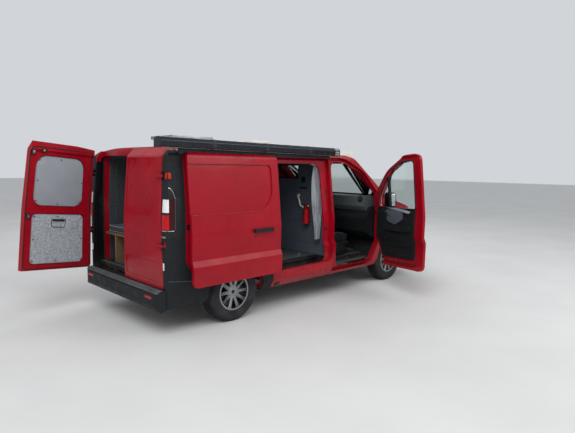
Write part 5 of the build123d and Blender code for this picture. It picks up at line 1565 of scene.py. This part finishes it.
# The curtain's side edges at each height. Columns: z, rear x, front x
CURTAIN_ROWS = [
    (1786, -108, 58), (1650, -132, 66), (1480, -140, 67), (1300, -132, 66), (1160, -110, 56), (944, -66, 38),
    (784, -50, 22),
]
CURTAIN_TOP, CURTAIN_FOOT, CURTAIN_Y = CURTAIN_ROWS[0][0], CURTAIN_ROWS[-1][0], -780
CURTAIN_FOLDS, FOLD_COLUMNS, FOLD_DEPTH, CURTAIN_STEPS = 7, 18, 15, 44


def curtain_edges(z):
    """The x of the curtain's two side edges at a height."""
    for (top, rear_a, front_a), (foot, rear_b, front_b) in zip(CURTAIN_ROWS, CURTAIN_ROWS[1:]):
        if foot <= z <= top:
            t = (top - z) / (top - foot)
            return rear_a + (rear_b - rear_a) * t, front_a + (front_b - front_a) * t


def add_curtain():
    """The gathered curtain on its rail, in deep soft folds."""
    bm = bmesh.new()
    columns = CURTAIN_FOLDS * FOLD_COLUMNS
    grid = []
    for i in range(CURTAIN_STEPS + 1):
        down = i / CURTAIN_STEPS
        z = CURTAIN_TOP + (CURTAIN_FOOT - CURTAIN_TOP) * i / CURTAIN_STEPS
        rear, front = curtain_edges(z)
        row = []
        for k in range(columns + 1):
            s = k / columns
            # Slow waves along the cloth and down it keep any two folds from being alike
            phase = 2 * math.pi * CURTAIN_FOLDS * s + 0.5 * math.sin(3 * down + 4 * s)
            deep = FOLD_DEPTH * (0.75 + 0.25 * math.sin(2.1 * s * 6 + 1.3)) * (0.75 + 0.25 * min(1, down * 3))
            y = CURTAIN_Y + deep * math.sin(phase) + 2.2 * math.sin(9 * down + 11 * s)
            x = rear + (front - rear) * (s + 0.012 * math.sin(2 * phase))
            row.append(bm.verts.new(van(x, y, z)))
        grid.append(row)
    for above, under in zip(grid, grid[1:]):
        for k in range(columns):
            bm.faces.new((above[k], under[k], under[k + 1], above[k + 1]))
    mesh = from_bmesh(bm, "curtain_cloth", "curtain_cloth")
    curtain = make_object("curtain_cloth", mesh)
    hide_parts("curtain")
    rail = Piece("curtain_rail", "grey_trim")
    rail.block("cream_plastic", (-160, 69), (-792, -768), (1792, 1803), 2.5)
    for x in range(-126, 59, 23):
        rail.tube("cream_plastic", [van(x, CURTAIN_Y, 1784), van(x, CURTAIN_Y, 1795)], 3)
    rail_piece = rail.done()


add_camera()
add_stage()
for place in WHEELS:
    add_wheel(place)
add_rear_bumper()
add_sliding_door()
add_opening_seals()
add_beads()
add_roof()
add_awning()
add_front()
for side_name, side in SIDES:
    add_rear_door(side_name, side)
    add_tail_lamp(side_name, side)
    add_front_door(side_name, side)
    add_side(side_name, side)
for row in SEATS:
    add_seat(*row)
add_dash()
add_cab()
add_bulkhead()
add_extinguisher()
add_floor()
add_furniture()
add_mattress()
add_curtain()
